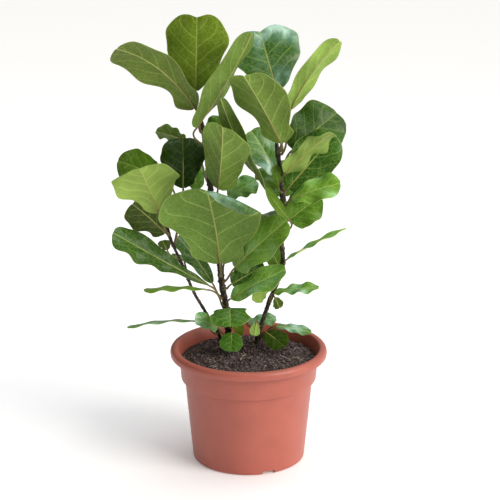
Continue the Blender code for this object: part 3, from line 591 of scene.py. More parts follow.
def blade_frames(one, rows):
    """Midrib points, and at each the directions along the midrib, to the blade's right and out of its upper
    side."""
    base, tip = np.array(one.base) * MM, np.array(one.tip) * MM
    chord = tip - base
    along = unit(chord)
    bearing, elevation = np.radians(one.faces)
    looks = np.array((math.cos(bearing) * math.cos(elevation), math.sin(bearing) * math.cos(elevation),
                      math.sin(elevation)))
    up = unit(looks - along * np.dot(looks, along))
    side = np.cross(along, up)
    frames = []
    for t in rows:
        bent = one.bend * (0.5 - t)
        swept = one.sweep * (0.5 - t)
        turn = one.twist * (t - TWIST_CENTRE)
        ahead, out = turned(along, side, bent), turned(up, side, bent)
        ahead, right = turned(ahead, out, -swept), turned(side, out, -swept)
        frames.append((ahead, turned(right, ahead, turn), turned(out, ahead, turn)))
    steps = [(frames[i][0] + frames[i + 1][0]) / 2 * (rows[i + 1] - rows[i]) for i in range(len(rows) - 1)]
    path = np.vstack([np.zeros(3), np.cumsum(steps, axis=0)])
    # The bent path is turned and scaled on to the chord from base to tip.
    scale = np.linalg.norm(chord) / np.linalg.norm(path[-1])
    axis = np.cross(path[-1], chord)
    if np.linalg.norm(axis) > 1e-9:
        off = math.degrees(math.acos(min(1.0, np.dot(unit(path[-1]), along))))
        axis = unit(axis)
        path = np.array([turned(point, axis, off) for point in path])
        frames = [tuple(turned(vector, axis, off) for vector in frame) for frame in frames]
    return base + path * scale, frames


def rolled(one, length, side, rise, ahead):
    """A blade point carried round the roll, where it lies beyond the line at which the roll starts."""
    bearing, radius = math.radians(one.roll.bearing), one.roll.radius * MM
    beside, before = side - one.roll.side * one.width * MM / 2, ahead - one.roll.along * length
    beyond = beside * math.sin(bearing) + before * math.cos(bearing)
    if beyond <= 0:
        return side, rise, ahead
    turn = min(beyond / radius, math.radians(abs(one.roll.degrees)))
    straight = beyond - turn * radius
    shift = radius * math.sin(turn) + straight * math.cos(turn) - beyond
    lift = radius * (1 - math.cos(turn)) + straight * math.sin(turn)
    return (side + shift * math.sin(bearing), rise + math.copysign(lift, one.roll.degrees),
            ahead + shift * math.cos(bearing))


def blade_place(one, length, t, u):
    """How far a blade point lies to the side of the midrib, above it and ahead of its own row, u from -1 at
    the left margin to 1 at the right one."""
    half = half_width(one, t, u)
    angles = np.radians(one.fold + one.curl * 2 * abs(u) * (np.arange(CURL_STEPS) + 0.5) / CURL_STEPS)
    reach = abs(u) * half * one.width * MM / 2
    beat = 2 * math.pi * (one.waves * t + one.phase + (WAVE_SHIFT if u > 0 else 0.0))
    wave = one.ruffle * MM * math.sin(beat) * abs(u) ** WAVE_RISE * min(1.0, half * 1.4)
    side = math.copysign(reach * np.cos(angles).mean(), u)
    rise = reach * np.sin(angles).mean() + wave
    deep = smooth_step(NOTCH_START, 1.0, t) * math.sin(math.pi * min(1.0, abs(u) * half / 0.9))
    dent = one.notch * MM * deep
    if one.roll is None:
        return side, rise, dent
    side, rise, ahead = rolled(one, length, side, rise, t * length + dent)
    return side, rise, ahead - t * length


def blade_grid(one, length, rows, shares):
    """Points of the blade's middle surface, a row for each share of its length, and their normals, which
    leave the upper side; and the midrib's start with its direction there."""
    path, frames = blade_frames(one, [0.0] + rows)
    grid = []
    for t, centre, (ahead, right, out) in zip(rows, path[1:], frames[1:]):
        places = [blade_place(one, length, t, u) for u in shares]
        grid.append([centre + right * side + out * rise + ahead * forward for side, rise, forward in places])
    grid = np.array(grid)
    normals = np.cross(np.gradient(grid, axis=1), np.gradient(grid, axis=0))
    return grid, normals / np.linalg.norm(normals, axis=2, keepdims=True), path[0], frames[0][0]


def petiole_line(one, base, ahead, shares):
    """Centre line from the stem's surface to the blade."""
    centre, direction, radius = stem_at(STEMS[one.stem], one.height * MM)
    outward = base - centre
    outward = unit(outward - direction * np.dot(outward, direction))
    start = centre + outward * (radius * NODE_SWELL + SEAT_GAP)
    reach = np.linalg.norm(base - start)
    leaving = unit(outward + unit(base - start))
    a, b, c, d = start, start + leaving * reach * 0.3, base - ahead * reach * 0.35, base
    return np.array([(1 - s) ** 3 * a + 3 * s * (1 - s) ** 2 * b + 3 * s**2 * (1 - s) * c + s**3 * d
                     for s in shares])


def leaf_guide(name, one, cell, seed):
    """A mesh to grow a leaf from: the blade's middle surface, and the line of petiole and midrib."""
    length = np.linalg.norm(np.array(one.tip) - np.array(one.base)) * MM
    row_count = max(14, round(length / cell))
    half_columns = max(5, round(one.width * MM / 2 / (cell * 1.5)))
    reach = BLADE_END - BLADE_START
    rows = [BLADE_START + reach * (1 - (1 - i / (row_count - 1)) ** ROW_CROWDING) for i in range(row_count)]
    shares = np.linspace(-1, 1, 2 * half_columns + 1)
    grid, normals, base, ahead = blade_grid(one, length, rows, shares)
    grid = np.clip(grid, np.array(cad_box[0]) + MM, np.array(cad_box[1]) - MM)
    # Each leaf's side veins wander in their own way.
    along, across, beat, place = [], [], [], []
    for t in rows:
        for u in shares:
            wander = 0.07 * math.sin(8.2 * t + 4.4 * seed)
            wander += 0.12 * abs(u) * math.sin(5.7 * u + 11 * t + 2.3 * seed)
            along.append(t)
            across.append(u)
            beat.append(one.veins * (t - VEIN_SLANT * abs(u) - VEIN_ARCH * u * u) + wander)
            place.append((u * half_width(one, t, u) * one.width * MM / 2, t * length, seed))
    wide = len(shares)
    faces = [(r * wide + c, r * wide + c + 1, (r + 1) * wide + c + 1, (r + 1) * wide + c)
             for r in range(row_count - 1) for c in range(wide - 1)]
    share = np.linspace(0, 1, PETIOLE_STEPS)
    stalk = petiole_line(one, base, ahead, share)
    # The petiole swells at both its ends, and runs on into the midrib, which tapers to the tip.
    slim = PETIOLE_RADIUS * min(1.0, 0.7 + one.width / 300)
    swell = 1 + 0.3 * np.exp(-((share / 0.1) ** 2)) + 0.15 * np.exp(-(((1 - share) / 0.12) ** 2))
    rib = grid[::2, half_columns] - normals[::2, half_columns] * RIB_SUNK
    thick = [*(slim * (1.15 - 0.35 * share) * swell), *(slim * 0.8 * (1 - 0.82 * np.array(rows[::2])))]
    points = np.vstack([grid.reshape(-1, 3), stalk, rib])
    start, extra = len(along), len(stalk) + len(rib)
    edges = [(start + i, start + i + 1) for i in range(extra - 1)]
    whole = np.ones(len(points))
    return new_mesh(
        name, points, edges, faces, blade=[1.0] * start + [0.0] * extra, beat=beat + [0.0] * extra,
        along=along + [0.0] * PETIOLE_STEPS + rows[::2], across=across + [0.0] * extra,
        place=place + [(0.0, 0.0, seed)] * extra, thick=[0.0] * start + thick, gap=whole * length / one.veins,
        age=whole * one.age, cast=whole * one.cast, tone=whole * one.tone)


# The mask of the side veins, 1 on a vein and 0 between them. Each lies where the beat passes a half, those of
# the two halves in turn, and is as wide as asked at the midrib, narrowing and fading outward. The veins of a
# leaf that has them under 20 mm apart are slimmer in step.
VEIN_STEPS = (
    ("right", "GREATER_THAN", "across", 0.0),
    ("shifted", "MULTIPLY_ADD", "right", 0.5, "beat"),
    ("phase", "FRACT", "shifted"),
    ("centred", "SUBTRACT", "phase", 0.5),
    ("off", "ABSOLUTE", "centred"),
    ("distance", "MULTIPLY", "off", "gap"),
    ("outward", "ABSOLUTE", "across"),
    ("narrowing", "MULTIPLY_ADD", "outward", -0.5, 1.0),
    ("fullness", "DIVIDE", "gap", 20 * MM),
    ("slim", "MINIMUM", "fullness", 1.0),
    ("full", "MULTIPLY", "slim", "width"),
    ("spread", "MULTIPLY", "full", "narrowing"),
    ("ratio", "DIVIDE", "distance", "spread"),
    ("squared", "MULTIPLY", "ratio", "ratio"),
    ("negated", "MULTIPLY", "squared", -1.0),
    ("mask", "EXPONENT", "negated"),
    ("inner", "SUBTRACT", 1.0, "outward"),
    ("fade", "MULTIPLY", "inner", 6.0),
    ("capped", "MINIMUM", "fade", 1.0),
    ("vein", "MULTIPLY", "mask", "capped"),
)


def add_veins(tree, found, width):
    """The mask of the side veins, drawn this wide."""
    own = {**found, "width": width}
    add_steps(tree, own, VEIN_STEPS)
    return own["vein"]


# How far the blade swells between its veins, and where its lower side and the ridges of its veins lie.
BLADE_STEPS = (
    ("hollow", "SUBTRACT", 1.0, "vein"),
    ("outward", "ABSOLUTE", "across"),
    ("rising", "MULTIPLY", "outward", 5.0),
    ("capped", "MINIMUM", "rising", 1.0),
    ("swell", "MULTIPLY", "hollow", "capped"),
    ("height", "MULTIPLY", "swell", "Pucker"),
    ("lift", "SCALE", "normal", "height"),
    ("half", "MULTIPLY", "Thickness", -0.5),
    ("down", "SCALE", "out", "half"),
    ("ridge", "MULTIPLY", "vein", "Vein ridge"),
    ("depth", "MULTIPLY", "ridge", -1.0),
    ("below", "SCALE", "out", "depth"),
)


def leaf_tree(sizes, cuticle, stalk_skin):
    """Grows a closed leaf from its guide: the blade puckers between its veins and gets its thickness, and a
    tapered tube makes the petiole and the midrib."""
    tree, found = new_tree("Fig Leaf", sizes, "blade", "across", "beat", "gap", "thick", "upper")
    found["out"] = add_node(tree, "GeometryNodeInputNamedAttribute", {"Name": "out"},
                            data_type="FLOAT_VECTOR").outputs[0]
    found["normal"] = add_node(tree, "GeometryNodeInputNormal").outputs[0]
    found["vein"] = add_veins(tree, found, 1.8 * MM)
    add_steps(tree, found, BLADE_STEPS)
    parts = add_node(tree, "GeometryNodeSeparateGeometry", {
        "Geometry": found["Geometry"], "Selection": found["blade"]})
    blade = add_node(tree, "GeometryNodeSetPosition", {"Geometry": parts, "Offset": found["lift"]})
    blade = add_node(tree, "GeometryNodeStoreNamedAttribute", {
        "Geometry": blade, "Name": "out", "Value": found["normal"]}, data_type="FLOAT_VECTOR", domain="POINT")
    under = add_node(tree, "GeometryNodeSetPosition", {"Geometry": blade, "Offset": found["down"]})
    slab = add_node(tree, "GeometryNodeExtrudeMesh", {
        "Mesh": under, "Offset": found["out"], "Offset Scale": found["Thickness"], "Individual": False})
    upper = add_node(tree, "GeometryNodeStoreNamedAttribute", {
        "Geometry": slab, "Name": "upper", "Value": slab.outputs["Top"]}, data_type="FLOAT", domain="FACE")
    flipped = add_node(tree, "GeometryNodeFlipFaces", {"Mesh": under})
    shell = add_node(tree, "GeometryNodeJoinGeometry", {"Geometry": [upper, flipped]})
    shell = add_node(tree, "GeometryNodeMergeByDistance", {"Geometry": shell, "Distance": 1e-6})
    is_lower = add_node(tree, "FunctionNodeCompare", {0: found["upper"], 1: 0.01}, data_type="FLOAT",
                        operation="LESS_THAN")
    shell = add_node(tree, "GeometryNodeSetPosition", {
        "Geometry": shell, "Selection": is_lower, "Offset": found["below"]})
    _, tube = add_tube(tree, parts.outputs["Inverted"], found["Stalk sides"], found["thick"])
    return close_tree(tree, [tube, shell], (stalk_skin, True), (cuticle, found["blade"]))


# The leaf's colour, roughness, shine and relief, in that order.
LEAF_STEPS = (
    ("cloudy", "NOISE", "place", every(26), 3.0),
    ("broad", "NOISE", "place", every(67), 1.5),
    ("patchy", "NOISE", "place", every(4.76), 4.0),
    ("cross_lines", "RANGE", "cross_veins", 0.015, 0.09, 1.0, 0.0),
    ("fine_lines", "RANGE", "fine_veins", 0.015, 0.12, 1.0, 0.0),
    ("network", "MULTIPLY_ADD", "cross_lines", 1.6, "fine_lines"),
    # Small leaves have slimmer midribs and fainter veins.
    ("size", "RANGE", "gap", 6 * MM, 20 * MM, 0.35, 1.0),
    ("beside", "ABSOLUTE", "side"),
    ("from_rib", "DIVIDE", "beside", "size"),
    ("rib", "RANGE", "from_rib", 0.7 * MM, 1.7 * MM, 1.0, 0.0),
    ("lines", "MAXIMUM", "vein", "rib"),
    ("upper_green", "MIX", "age", "upper_young", "upper_deep"),
    ("under_green", "MIX", "age", "under_young", "under_deep"),
    ("green", "MIX", "upper", "under_green", "upper_green"),
    # Olive shows on both sides, and blue-green on the upper side only, in broad patches.
    # The blue-green is partly the leaf's own hue and partly a painted sheen of the pale sky.
    ("bluer", "MULTIPLY", "cast", "upper"),
    ("patch", "RANGE", "broad", 0.4, 0.54, 0.15, 1.15),
    ("bluish", "MULTIPLY", "bluer", "patch"),
    ("olive_share", "MULTIPLY", "cast", -0.6),
    ("olive", "MIX", "olive_share", "green", "#5f6b1c"),
    ("blue_share", "MULTIPLY", "bluish", 0.6),
    ("blue", "MIX", "blue_share", "olive", "#41785c"),
    # A painted glint, a pale reflection of the sky, lies in clouds on the bluest patches.
    ("cloud", "RANGE", "cloudy", 0.46, 0.66, 0.0, 1.0),
    ("bloom", "MULTIPLY", "cloud", "bluish"),
    ("bloom_share", "MULTIPLY", "bloom", 0.55),
    ("blade", "MIX", "bloom_share", "blue", "#a3c4b8"),
    # Painted shade lies in random clouds on the blade, a little lighter beside a vein than between two.
    ("mottle", "RANGE", "cloudy", 0.3, 0.7, 0.88, 1.06),
    ("drift", "RANGE", "broad", 0.35, 0.65, 0.84, 1.14),
    ("uneven", "MULTIPLY", "mottle", "drift"),
    ("shade", "MULTIPLY_ADD", "halo", 0.14, "uneven"),
    ("shaded", "SCALE", "blade", "shade"),
    # The midrib is tan towards the petiole on the lower side.
    ("vein_green", "MIX", "upper", "#bcc873", "#a5ba60"),
    ("near", "RANGE", "along", 0.05, 0.5, 0.6, 0.0),
    ("near_rib", "MULTIPLY", "near", "rib"),
    ("lower", "SUBTRACT", 1.0, "upper"),
    ("tan", "MULTIPLY", "near_rib", "lower"),
    ("vein_colour", "MIX", "tan", "vein_green", "#a0803f"),
    # The network is faint; the side veins and the midrib are clear, most of all on the lower side.
    ("faint", "MULTIPLY", "size", 0.09),
    ("network_share", "MULTIPLY", "network", "faint"),
    ("netted", "MIX", "network_share", "shaded", "vein_colour"),
    ("clear", "RANGE", "upper", 0.0, 1.0, 0.85, 0.45),
    ("clearer", "MULTIPLY", "clear", "size"),
    ("lines_share", "MULTIPLY", "lines", "clearer"),
    ("veined", "MIX", "lines_share", "netted", "vein_colour"),
    # A thin paler margin.
    ("outward", "ABSOLUTE", "across"),
    ("margin", "RANGE", "outward", 0.955, 1.0, 0.0, 0.45),
    ("edged", "MIX", "margin", "veined", "#a9b565"),
    # Each leaf's lightness, partly painted shade where a leaf lies in the shadow of others.
    ("colour", "SCALE", "edged", "tone"),
    ("skin", "RANGE", "upper", 0.0, 1.0, 0.5, 0.3),
    ("grain", "RANGE", "patchy", 0.3, 0.7, -0.05, 0.07),
    ("rough", "ADD", "skin", "grain"),
    # Blue-green comes with more shine.
    ("wax", "RANGE", "upper", 0.0, 1.0, 0.2, 0.22),
    ("shine", "MULTIPLY_ADD", "bluish", 0.85, "wax"),
    # The veins are sunk on the upper side and stand out below.
    ("raised", "MULTIPLY_ADD", "network", 0.15, "vein"),
    ("way", "RANGE", "upper", 0.0, 1.0, 1.0, -1.0),
    ("relief", "MULTIPLY", "raised", "way"),
    ("bump", "BUMP", "relief", 0.5, 0.25 * MM),
)


def leaf_material(settings):
    """Living leaf: a waxy, glossy cuticle above and a matte one below, with veins paler than the blade. New
    leaves are yellow-green and old ones deep green; some lean to olive and some to blue-green, which on the
    upper side is partly a painted sky sheen, with pale painted glints. The network of fine veins shows as a
    faint mesh."""
    material, tree, shader = new_material("Leaf, waxy cuticle", {"IOR": 1.45})
    found = {"place": add_node(tree, "ShaderNodeTexCoord").outputs["Object"]}
    for name in ("along", "across", "beat", "gap", "upper", "age", "cast", "tone"):
        found[name] = add_node(tree, "ShaderNodeAttribute", attribute_name=name).outputs["Fac"]
    for name in ("upper_young", "upper_deep", "under_young", "under_deep"):
        found[name] = (*getattr(settings, name), 1.0)
    flat = add_node(tree, "ShaderNodeAttribute", attribute_name="place").outputs["Vector"]
    found["side"] = add_node(tree, "ShaderNodeSeparateXYZ", {0: flat}).outputs["X"]
    # Cross veins join the side veins about every 10 mm, and fine veins enclose areoles of about 4 mm; both
    # are drawn wider than life so that they show.
    for name, size in (("cross_veins", 10), ("fine_veins", 4.17)):
        found[name] = add_node(tree, "ShaderNodeTexVoronoi", {"Vector": flat, "Scale": every(size)},
                               feature="DISTANCE_TO_EDGE").outputs["Distance"]
    found["vein"] = add_veins(tree, found, 0.75 * MM)
    found["halo"] = add_veins(tree, found, 3.2 * MM)
    add_steps(tree, found, LEAF_STEPS)
    feed(tree, shader, {"Base Color": found["colour"], "Roughness": found["rough"],
                        "Specular IOR Level": found["shine"], "Normal": found["bump"]})
    return material


def stalk_material():
    """Petiole and midrib: smooth green-brown skin, redder and duller towards the stem."""
    material, tree, shader = new_material("Petiole, smooth skin", {"IOR": 1.45, "Roughness": 0.45})
    found = {"place": add_node(tree, "ShaderNodeTexCoord").outputs["Object"]}
    found["along"] = add_node(tree, "ShaderNodeAttribute", attribute_name="along").outputs["Fac"]
    add_steps(tree, found, (
        ("mottle", "NOISE", "place", every(3.125)),
        ("mixed", "MULTIPLY_ADD", "mottle", 0.3, "along"),
    ))
    ramp = add_node(tree, "ShaderNodeValToRGB", {"Fac": found["mixed"]},
                    stops=[(0.12, "#5f5230"), (0.3, "#a0924c"), (0.75, "#b5b868")])
    feed(tree, shader, {"Base Color": ramp})
    return material


# ---- stems ----


def stem_guide(name):
    """The stem's line with its radius at each point: buried foot, swellings at the leaves and pointed
    bud."""
    stem = STEMS[name]
    line = spline(np.array(stem.points) * MM, 260)
    heights = [one.height * MM for one in LEAVES.values() if one.stem == name]
    foot = line[0] - np.outer(np.linspace(STEM_BURIED, 4 * MM, 14), (0, 0, 1))
    radii = [stem.radius * MM] * len(foot)
    for point in line:
        _, _, radius = stem_at(stem, point[2])
        nearest = min(abs(point[2] - height) for height in heights)
        radii.append(radius * (1 + (NODE_SWELL - 1) * math.exp(-((nearest / NODE_REACH) ** 2))))
    centre, direction, radius = stem_at(stem, line[-1, 2])
    rises = np.linspace(BUD_LENGTH / 8, BUD_LENGTH, 8)
    bud = centre + np.outer(rises, direction)
    radii += list(radius * np.interp(rises / BUD_LENGTH, (0, 0.25, 0.625, 1), (1.0, 0.9, 0.55, 0.12)))
    points = np.vstack([foot, line, bud])
    edges = [(i, i + 1) for i in range(len(points) - 1)]
    return new_mesh("stem", points, edges, [], thick=radii)


def stem_tree(sizes, bark):
    """Grows a woody stem along its line, with ridged bark and a crescent scar where each old leaf has
    dropped."""
    tree, found = new_tree("Fig Stem", sizes, "thick")
    for name, kind in (("place", "Position"), ("normal", "Normal"), ("index", "Index")):
        found[name] = add_node(tree, "GeometryNodeInput" + kind).outputs[0]
    add_steps(tree, found, (
        ("noise", "NOISE", "place", every(5.88), 3.0),
        ("centred", "SUBTRACT", "noise", 0.5),
        ("ridges", "MULTIPLY", "centred", "Bark relief"),
        ("height", "MULTIPLY", "ridges", 2.5),
        ("lift", "SCALE", "normal", "height"),
        ("spiral", "MULTIPLY", "index", math.radians(137.5)),
    ))
    line, wood = add_tube(tree, found["Geometry"], found["Sides"], found["thick"])
    wood = add_node(tree, "GeometryNodeSetPosition", {"Geometry": wood, "Offset": found["lift"]})
    # One scar at each step of the spiral that the leaves follow.
    spots = add_node(tree, "GeometryNodeCurveToPoints", {"Curve": line, "Length": found["Scar spacing"]},
                     mode="LENGTH")
    turn = add_node(tree, "FunctionNodeAxisAngleToRotation", {
        "Axis": (0.0, 0.0, 1.0), "Angle": found["spiral"]})
    turn = add_node(tree, "FunctionNodeRotateRotation", {
        "Rotation": spots.outputs["Rotation"], "Rotate By": turn}, rotation_space="LOCAL")
    arc = add_node(tree, "GeometryNodeCurveArc", {
        "Resolution": 10, "Radius": 1.0, "Sweep Angle": math.radians(170)}, mode="RADIUS")
    bead = add_node(tree, "GeometryNodeCurvePrimitiveCircle", {"Resolution": 6, "Radius": 0.2}, mode="RADIUS")
    scar = add_node(tree, "GeometryNodeCurveToMesh", {"Curve": arc, "Profile Curve": bead, "Fill Caps": True})
    scars = add_node(tree, "GeometryNodeInstanceOnPoints", {
        "Points": spots, "Instance": scar, "Rotation": turn, "Scale": found["thick"]})
    return close_tree(tree, [wood, scars], (bark, True))


def bark_material():
    """Fig bark: thin and dark brown, with grey corky flecks and fine cracks round the stem."""
    material, tree, shader = new_material("Bark, corky", {"IOR": 1.4})
    found = {"place": add_node(tree, "ShaderNodeTexCoord").outputs["Object"]}
    found["squeezed"] = add_node(tree, "ShaderNodeMapping", {
        "Vector": found["place"], "Scale": (1.0, 1.0, 2.4)}).outputs[0]
    add_steps(tree, found, (
        ("cracks", "NOISE", "squeezed", every(4.17), 5.0, 0.65),
        ("flecks", "NOISE", "place", every(11.1), 3.0),
        ("mixed", "MULTIPLY", "cracks", "flecks"),
        ("rough", "RANGE", "flecks", 0.0, 1.0, 0.6, 0.9),
        ("bump", "BUMP", "cracks", 0.7, 0.5 * MM),
    ))
    ramp = add_node(tree, "ShaderNodeValToRGB", {"Fac": found["mixed"]},
                    stops=[(0.14, "#1a1613"), (0.25, "#352d25"), (0.36, "#62574a"), (0.46, "#948b7b")])
    feed(tree, shader, {"Base Color": ramp, "Roughness": found["rough"], "Normal": found["bump"]})
    return material


# ---- potting mix ----


def inner_radius(height):
    """Inside radius of the pot's wall at a height."""
    section = sorted((z, radius) for radius, z in POT_INSIDE)
    return float(np.interp(height / MM, [z for z, _ in section], [radius for _, radius in section])) * MM


def soil_height(x, y):
    """Top of the mix: a low mound with shallow bumps, level where it meets the wall."""
    share = math.hypot(x, y) / inner_radius(SOIL_EDGE)
    a, b = x / MM, y / MM
    bumps = math.sin(a / 9 + 1.3 * math.sin(b / 13)) + math.sin(b / 8 + 1.7 * math.sin(a / 11))
    return SOIL_EDGE + SOIL_MOUND * (1 - share**2) + SOIL_BUMP * bumps * (1 - share**4)


def soil_guide():
    """The mix as a closed body: a finely divided top, the wall it lies against, and its flat bottom."""
    edge = inner_radius(SOIL_EDGE) - SOIL_GAP
    section = [(edge * ring / SOIL_RINGS, None) for ring in range(1, SOIL_RINGS + 1)]
    section += [(inner_radius(z * MM) - SOIL_GAP, (z + SOIL_ABOVE) * MM) for z in SOIL_TURNS]
    section.append((section[-1][0] - SOIL_BEVEL, SOIL_BOTTOM))
    points = [(0.0, 0.0, soil_height(0.0, 0.0))]
    top = [1.0]
    for radius, z in section:
        for side in range(SOIL_SIDES):
            angle = 2 * math.pi * side / SOIL_SIDES
            x, y = radius * math.cos(angle), radius * math.sin(angle)
            points.append((x, y, soil_height(x, y) if z is None else z))
            top.append(1.0 if z is None and radius < edge * SOIL_STREWN else 0.0)
    points.append((0.0, 0.0, SOIL_BOTTOM))
    top.append(0.0)
    turns = [(side, (side + 1) % SOIL_SIDES) for side in range(SOIL_SIDES)]
    faces = [(0, 1 + side, 1 + after) for side, after in turns]
    last = 1 + (len(section) - 1) * SOIL_SIDES
    for low in range(1, last, SOIL_SIDES):
        high = low + SOIL_SIDES
        faces += [(low + side, high + side, high + after, low + after) for side, after in turns]
    faces += [(len(points) - 1, last + after, last + side) for side, after in turns]
    return new_mesh("mix", points, [], faces, top=top)


def soil_tree(sizes, mix, bark_chip, perlite, fibre):
    """Roughens the top of the mix, and strews it with bark crumbs, perlite and fibres of coir."""
    tree, found = new_tree("Potting Mix", sizes, "top")
    found["place"] = add_node(tree, "GeometryNodeInputPosition").outputs[0]
    ragged = add_node(tree, "ShaderNodeTexNoise", {"Vector": found["place"], "Scale": 1.4})
    found["ragged"] = add_node(tree, "ShaderNodeVectorMath", {
        0: ragged.outputs["Color"], 1: (0.5, 0.5, 0.5)}, operation="SUBTRACT").outputs[0]
    add_steps(tree, found, (
        ("lumps", "NOISE", "place", every(6.67), 4.0, 0.6),
        ("lumpy", "RANGE", "lumps", 0.35, 0.75, -0.6, 1.0),
        ("inside", "MULTIPLY", "lumpy", "top"),
        ("rise", "MULTIPLY", "inside", "Relief"),
        ("jagged", "SCALE", "ragged", 2.6),
    ))
    lift = add_node(tree, "ShaderNodeCombineXYZ", {"Z": found["rise"]})
    ground = add_node(tree, "GeometryNodeSetPosition", {"Geometry": found["Geometry"], "Offset": lift})
    ground = add_node(tree, "GeometryNodeSetMaterial", {"Geometry": ground, "Material": mix})
    crumb = add_node(tree, "GeometryNodeMeshIcoSphere", {"Radius": 1.0, "Subdivisions": 1})
    crumb = add_node(tree, "GeometryNodeSetPosition", {"Geometry": crumb, "Offset": found["jagged"]})
    strand = add_node(tree, "GeometryNodeCurvePrimitiveBezierSegment", {
        "Resolution": 6, "Start": (-4.0, 0.0, 0.0), "Start Handle": (-1.5, 2.0, 1.2),
        "End Handle": (1.5, -2.0, 0.6), "End": (4.5, 0.6, 0.0)})
    bead = add_node(tree, "GeometryNodeCurvePrimitiveCircle", {"Resolution": 4, "Radius": 0.16},
                    mode="RADIUS")
    strand = add_node(tree, "GeometryNodeCurveToMesh", {
        "Curve": strand, "Profile Curve": bead, "Fill Caps": True})
    # Each layer: its grain, density, material, smallest and largest size in crumbs, and how flat it lies.
    layers = (
        (crumb, "Crumb density", bark_chip, 0.35, 1.5, (1.0, 0.75, 0.55)),
        (crumb, "Perlite density", perlite, 0.15, 0.45, (1.0, 0.9, 0.8)),
        (strand, "Fibre density", fibre, 0.4, 1.1, (1.0, 1.0, 1.0)),
    )
    parts = [ground]
    for place, (shape, density, material, small, large, squash) in enumerate(layers):
        found |= {"layer": float(place), "squash": squash, "grains": found[density]}
        add_steps(tree, found, (
            ("seed", "ADD", "Seed", "layer"),
            ("many", "MULTIPLY", "grains", "top"),
        ))
        seed = found["seed"]
        spots = add_node(tree, "GeometryNodeDistributePointsOnFaces", {
            "Mesh": ground, "Density": found["many"], "Seed": seed})
        turn = add_node(tree, "FunctionNodeRandomValue", {
            0: (-0.5, -0.5, -3.1), 1: (0.5, 0.5, 3.1), "Seed": seed}, data_type="FLOAT_VECTOR")
        turn = add_node(tree, "FunctionNodeEulerToRotation", {0: turn})
        found["share"] = add_node(tree, "FunctionNodeRandomValue", {2: small, 3: large, "Seed": seed},
                                  data_type="FLOAT").outputs[1]
        add_steps(tree, found, (
            ("size", "MULTIPLY", "share", "Crumb size"),
            ("scale", "SCALE", "squash", "size"),
        ))
        painted = add_node(tree, "GeometryNodeSetMaterial", {"Geometry": shape, "Material": material})
        parts.append(add_node(tree, "GeometryNodeInstanceOnPoints", {
            "Points": spots, "Instance": painted, "Rotation": turn, "Scale": found["scale"]}))
    return close_tree(tree, parts)


def grain_material(name, stops, size, roughness):
    """Grains of the mix: dull, with each grain its own shade. The size is that of the patches in it."""
    material, tree, shader = new_material(name, {"Roughness": roughness, "IOR": 1.4})
    found = {"place": add_node(tree, "ShaderNodeTexCoord").outputs["Object"]}
    add_steps(tree, found, (
        ("noise", "NOISE", "place", every(size), 3.0),
        ("bump", "BUMP", "noise", 0.6, 0.6 * MM),
    ))
    ramp = add_node(tree, "ShaderNodeValToRGB", {"Fac": found["noise"]}, stops=stops)
    feed(tree, shader, {"Base Color": ramp, "Normal": found["bump"]})
    return material


# ---- pot ----


def pot_section():
    """The pot's closed section, up the outside and down the inside, in metres."""
    body = np.linspace(POT_FOOT[-1], POT_LEDGE[0], 14)[1:-1].tolist()
    collar = np.linspace(POT_LEDGE[-1], POT_HOLLOW[0], 6)[1:-1].tolist()
    lip = spline(POT_LIP, 45).tolist()
    section = POT_UNDERSIDE + POT_FOOT + body + POT_LEDGE + collar + POT_HOLLOW + lip + POT_INSIDE + POT_FLOOR
    return [(min(radius, POT_RADIUS) * MM, min(z, POT_HEIGHT) * MM) for radius, z in section]


def turned_mesh(section, sides):
    """Points and faces of a section turned about Z, closed on the axis at both ends."""
    angles = [2 * math.pi * side / sides for side in range(sides)]
    points, faces, rings = [], [], []
    for radius, z in section:
        start = len(points)
        if radius < 1e-9:
            points.append((0.0, 0.0, z))
            rings.append([start] * sides)
        else:
            points += [(radius * math.cos(angle), radius * math.sin(angle), z) for angle in angles]
            rings.append(list(range(start, start + sides)))
    for low, high in zip(rings, rings[1:]):
        for side in range(sides):
            after = (side + 1) % sides
            corners = (low[side], low[after], high[after], high[side])
            faces.append(tuple(dict.fromkeys(corners)))
    return points, faces


def block(near, far):
    """Points and faces of a closed block between two outlines."""
    count = len(near)
    faces = [(i, (i + 1) % count, count + (i + 1) % count, count + i) for i in range(count)]
    faces += [tuple(range(count))[::-1], tuple(range(count, 2 * count))]
    return near + far, faces


def notch_block(angle):
    """A block that cuts one arched notch across the foot ring, with rounded upper corners."""
    outward = np.array((math.cos(angle), math.sin(angle), 0.0))
    beside = np.array((-math.sin(angle), math.cos(angle), 0.0))
    half = NOTCH_WIDTH / 2
    outline = [(half, NOTCH_BELOW), (half, NOTCH_HEIGHT - NOTCH_ROUND)]
    outline += [(half - NOTCH_ROUND * (1 - math.cos(a)), NOTCH_HEIGHT - NOTCH_ROUND * (1 - math.sin(a)))
                for a in np.radians((30, 60, 90))]
    outline += [(-x, z) for x, z in outline[::-1]]
    return block(*([outward * radius + beside * x + np.array((0, 0, z)) for x, z in outline]
                   for radius in NOTCH_RADII))


def drain_block(angle):
    """A round post that cuts one drain through the pot's floor."""
    turns = [2 * math.pi * side / DRAIN_SIDES for side in range(DRAIN_SIDES)]
    circle = [(DRAIN_CIRCLE * math.cos(angle) + DRAIN_RADIUS * math.cos(turn),
               DRAIN_CIRCLE * math.sin(angle) + DRAIN_RADIUS * math.sin(turn)) for turn in turns]
    return block(*([(x, y, z) for x, y in circle] for z in DRAIN_HEIGHTS))


def cut(piece, blocks):
    """Cuts the blocks out of a piece for good."""
    points, faces = [], []
    for block_points, block_faces in blocks:
        start = len(points)
        points += block_points
        faces += [tuple(start + corner for corner in face) for face in block_faces]
    cutter = add_object("cutter", new_mesh("cutter", points, [], faces))
    modifier = piece.modifiers.new("cut", "BOOLEAN")
    modifier.operation = "DIFFERENCE"
    modifier.solver = "EXACT"
    modifier.object = cutter
    piece.data = evaluated_mesh(piece)
    piece.modifiers.remove(modifier)
    bpy.data.objects.remove(cutter)


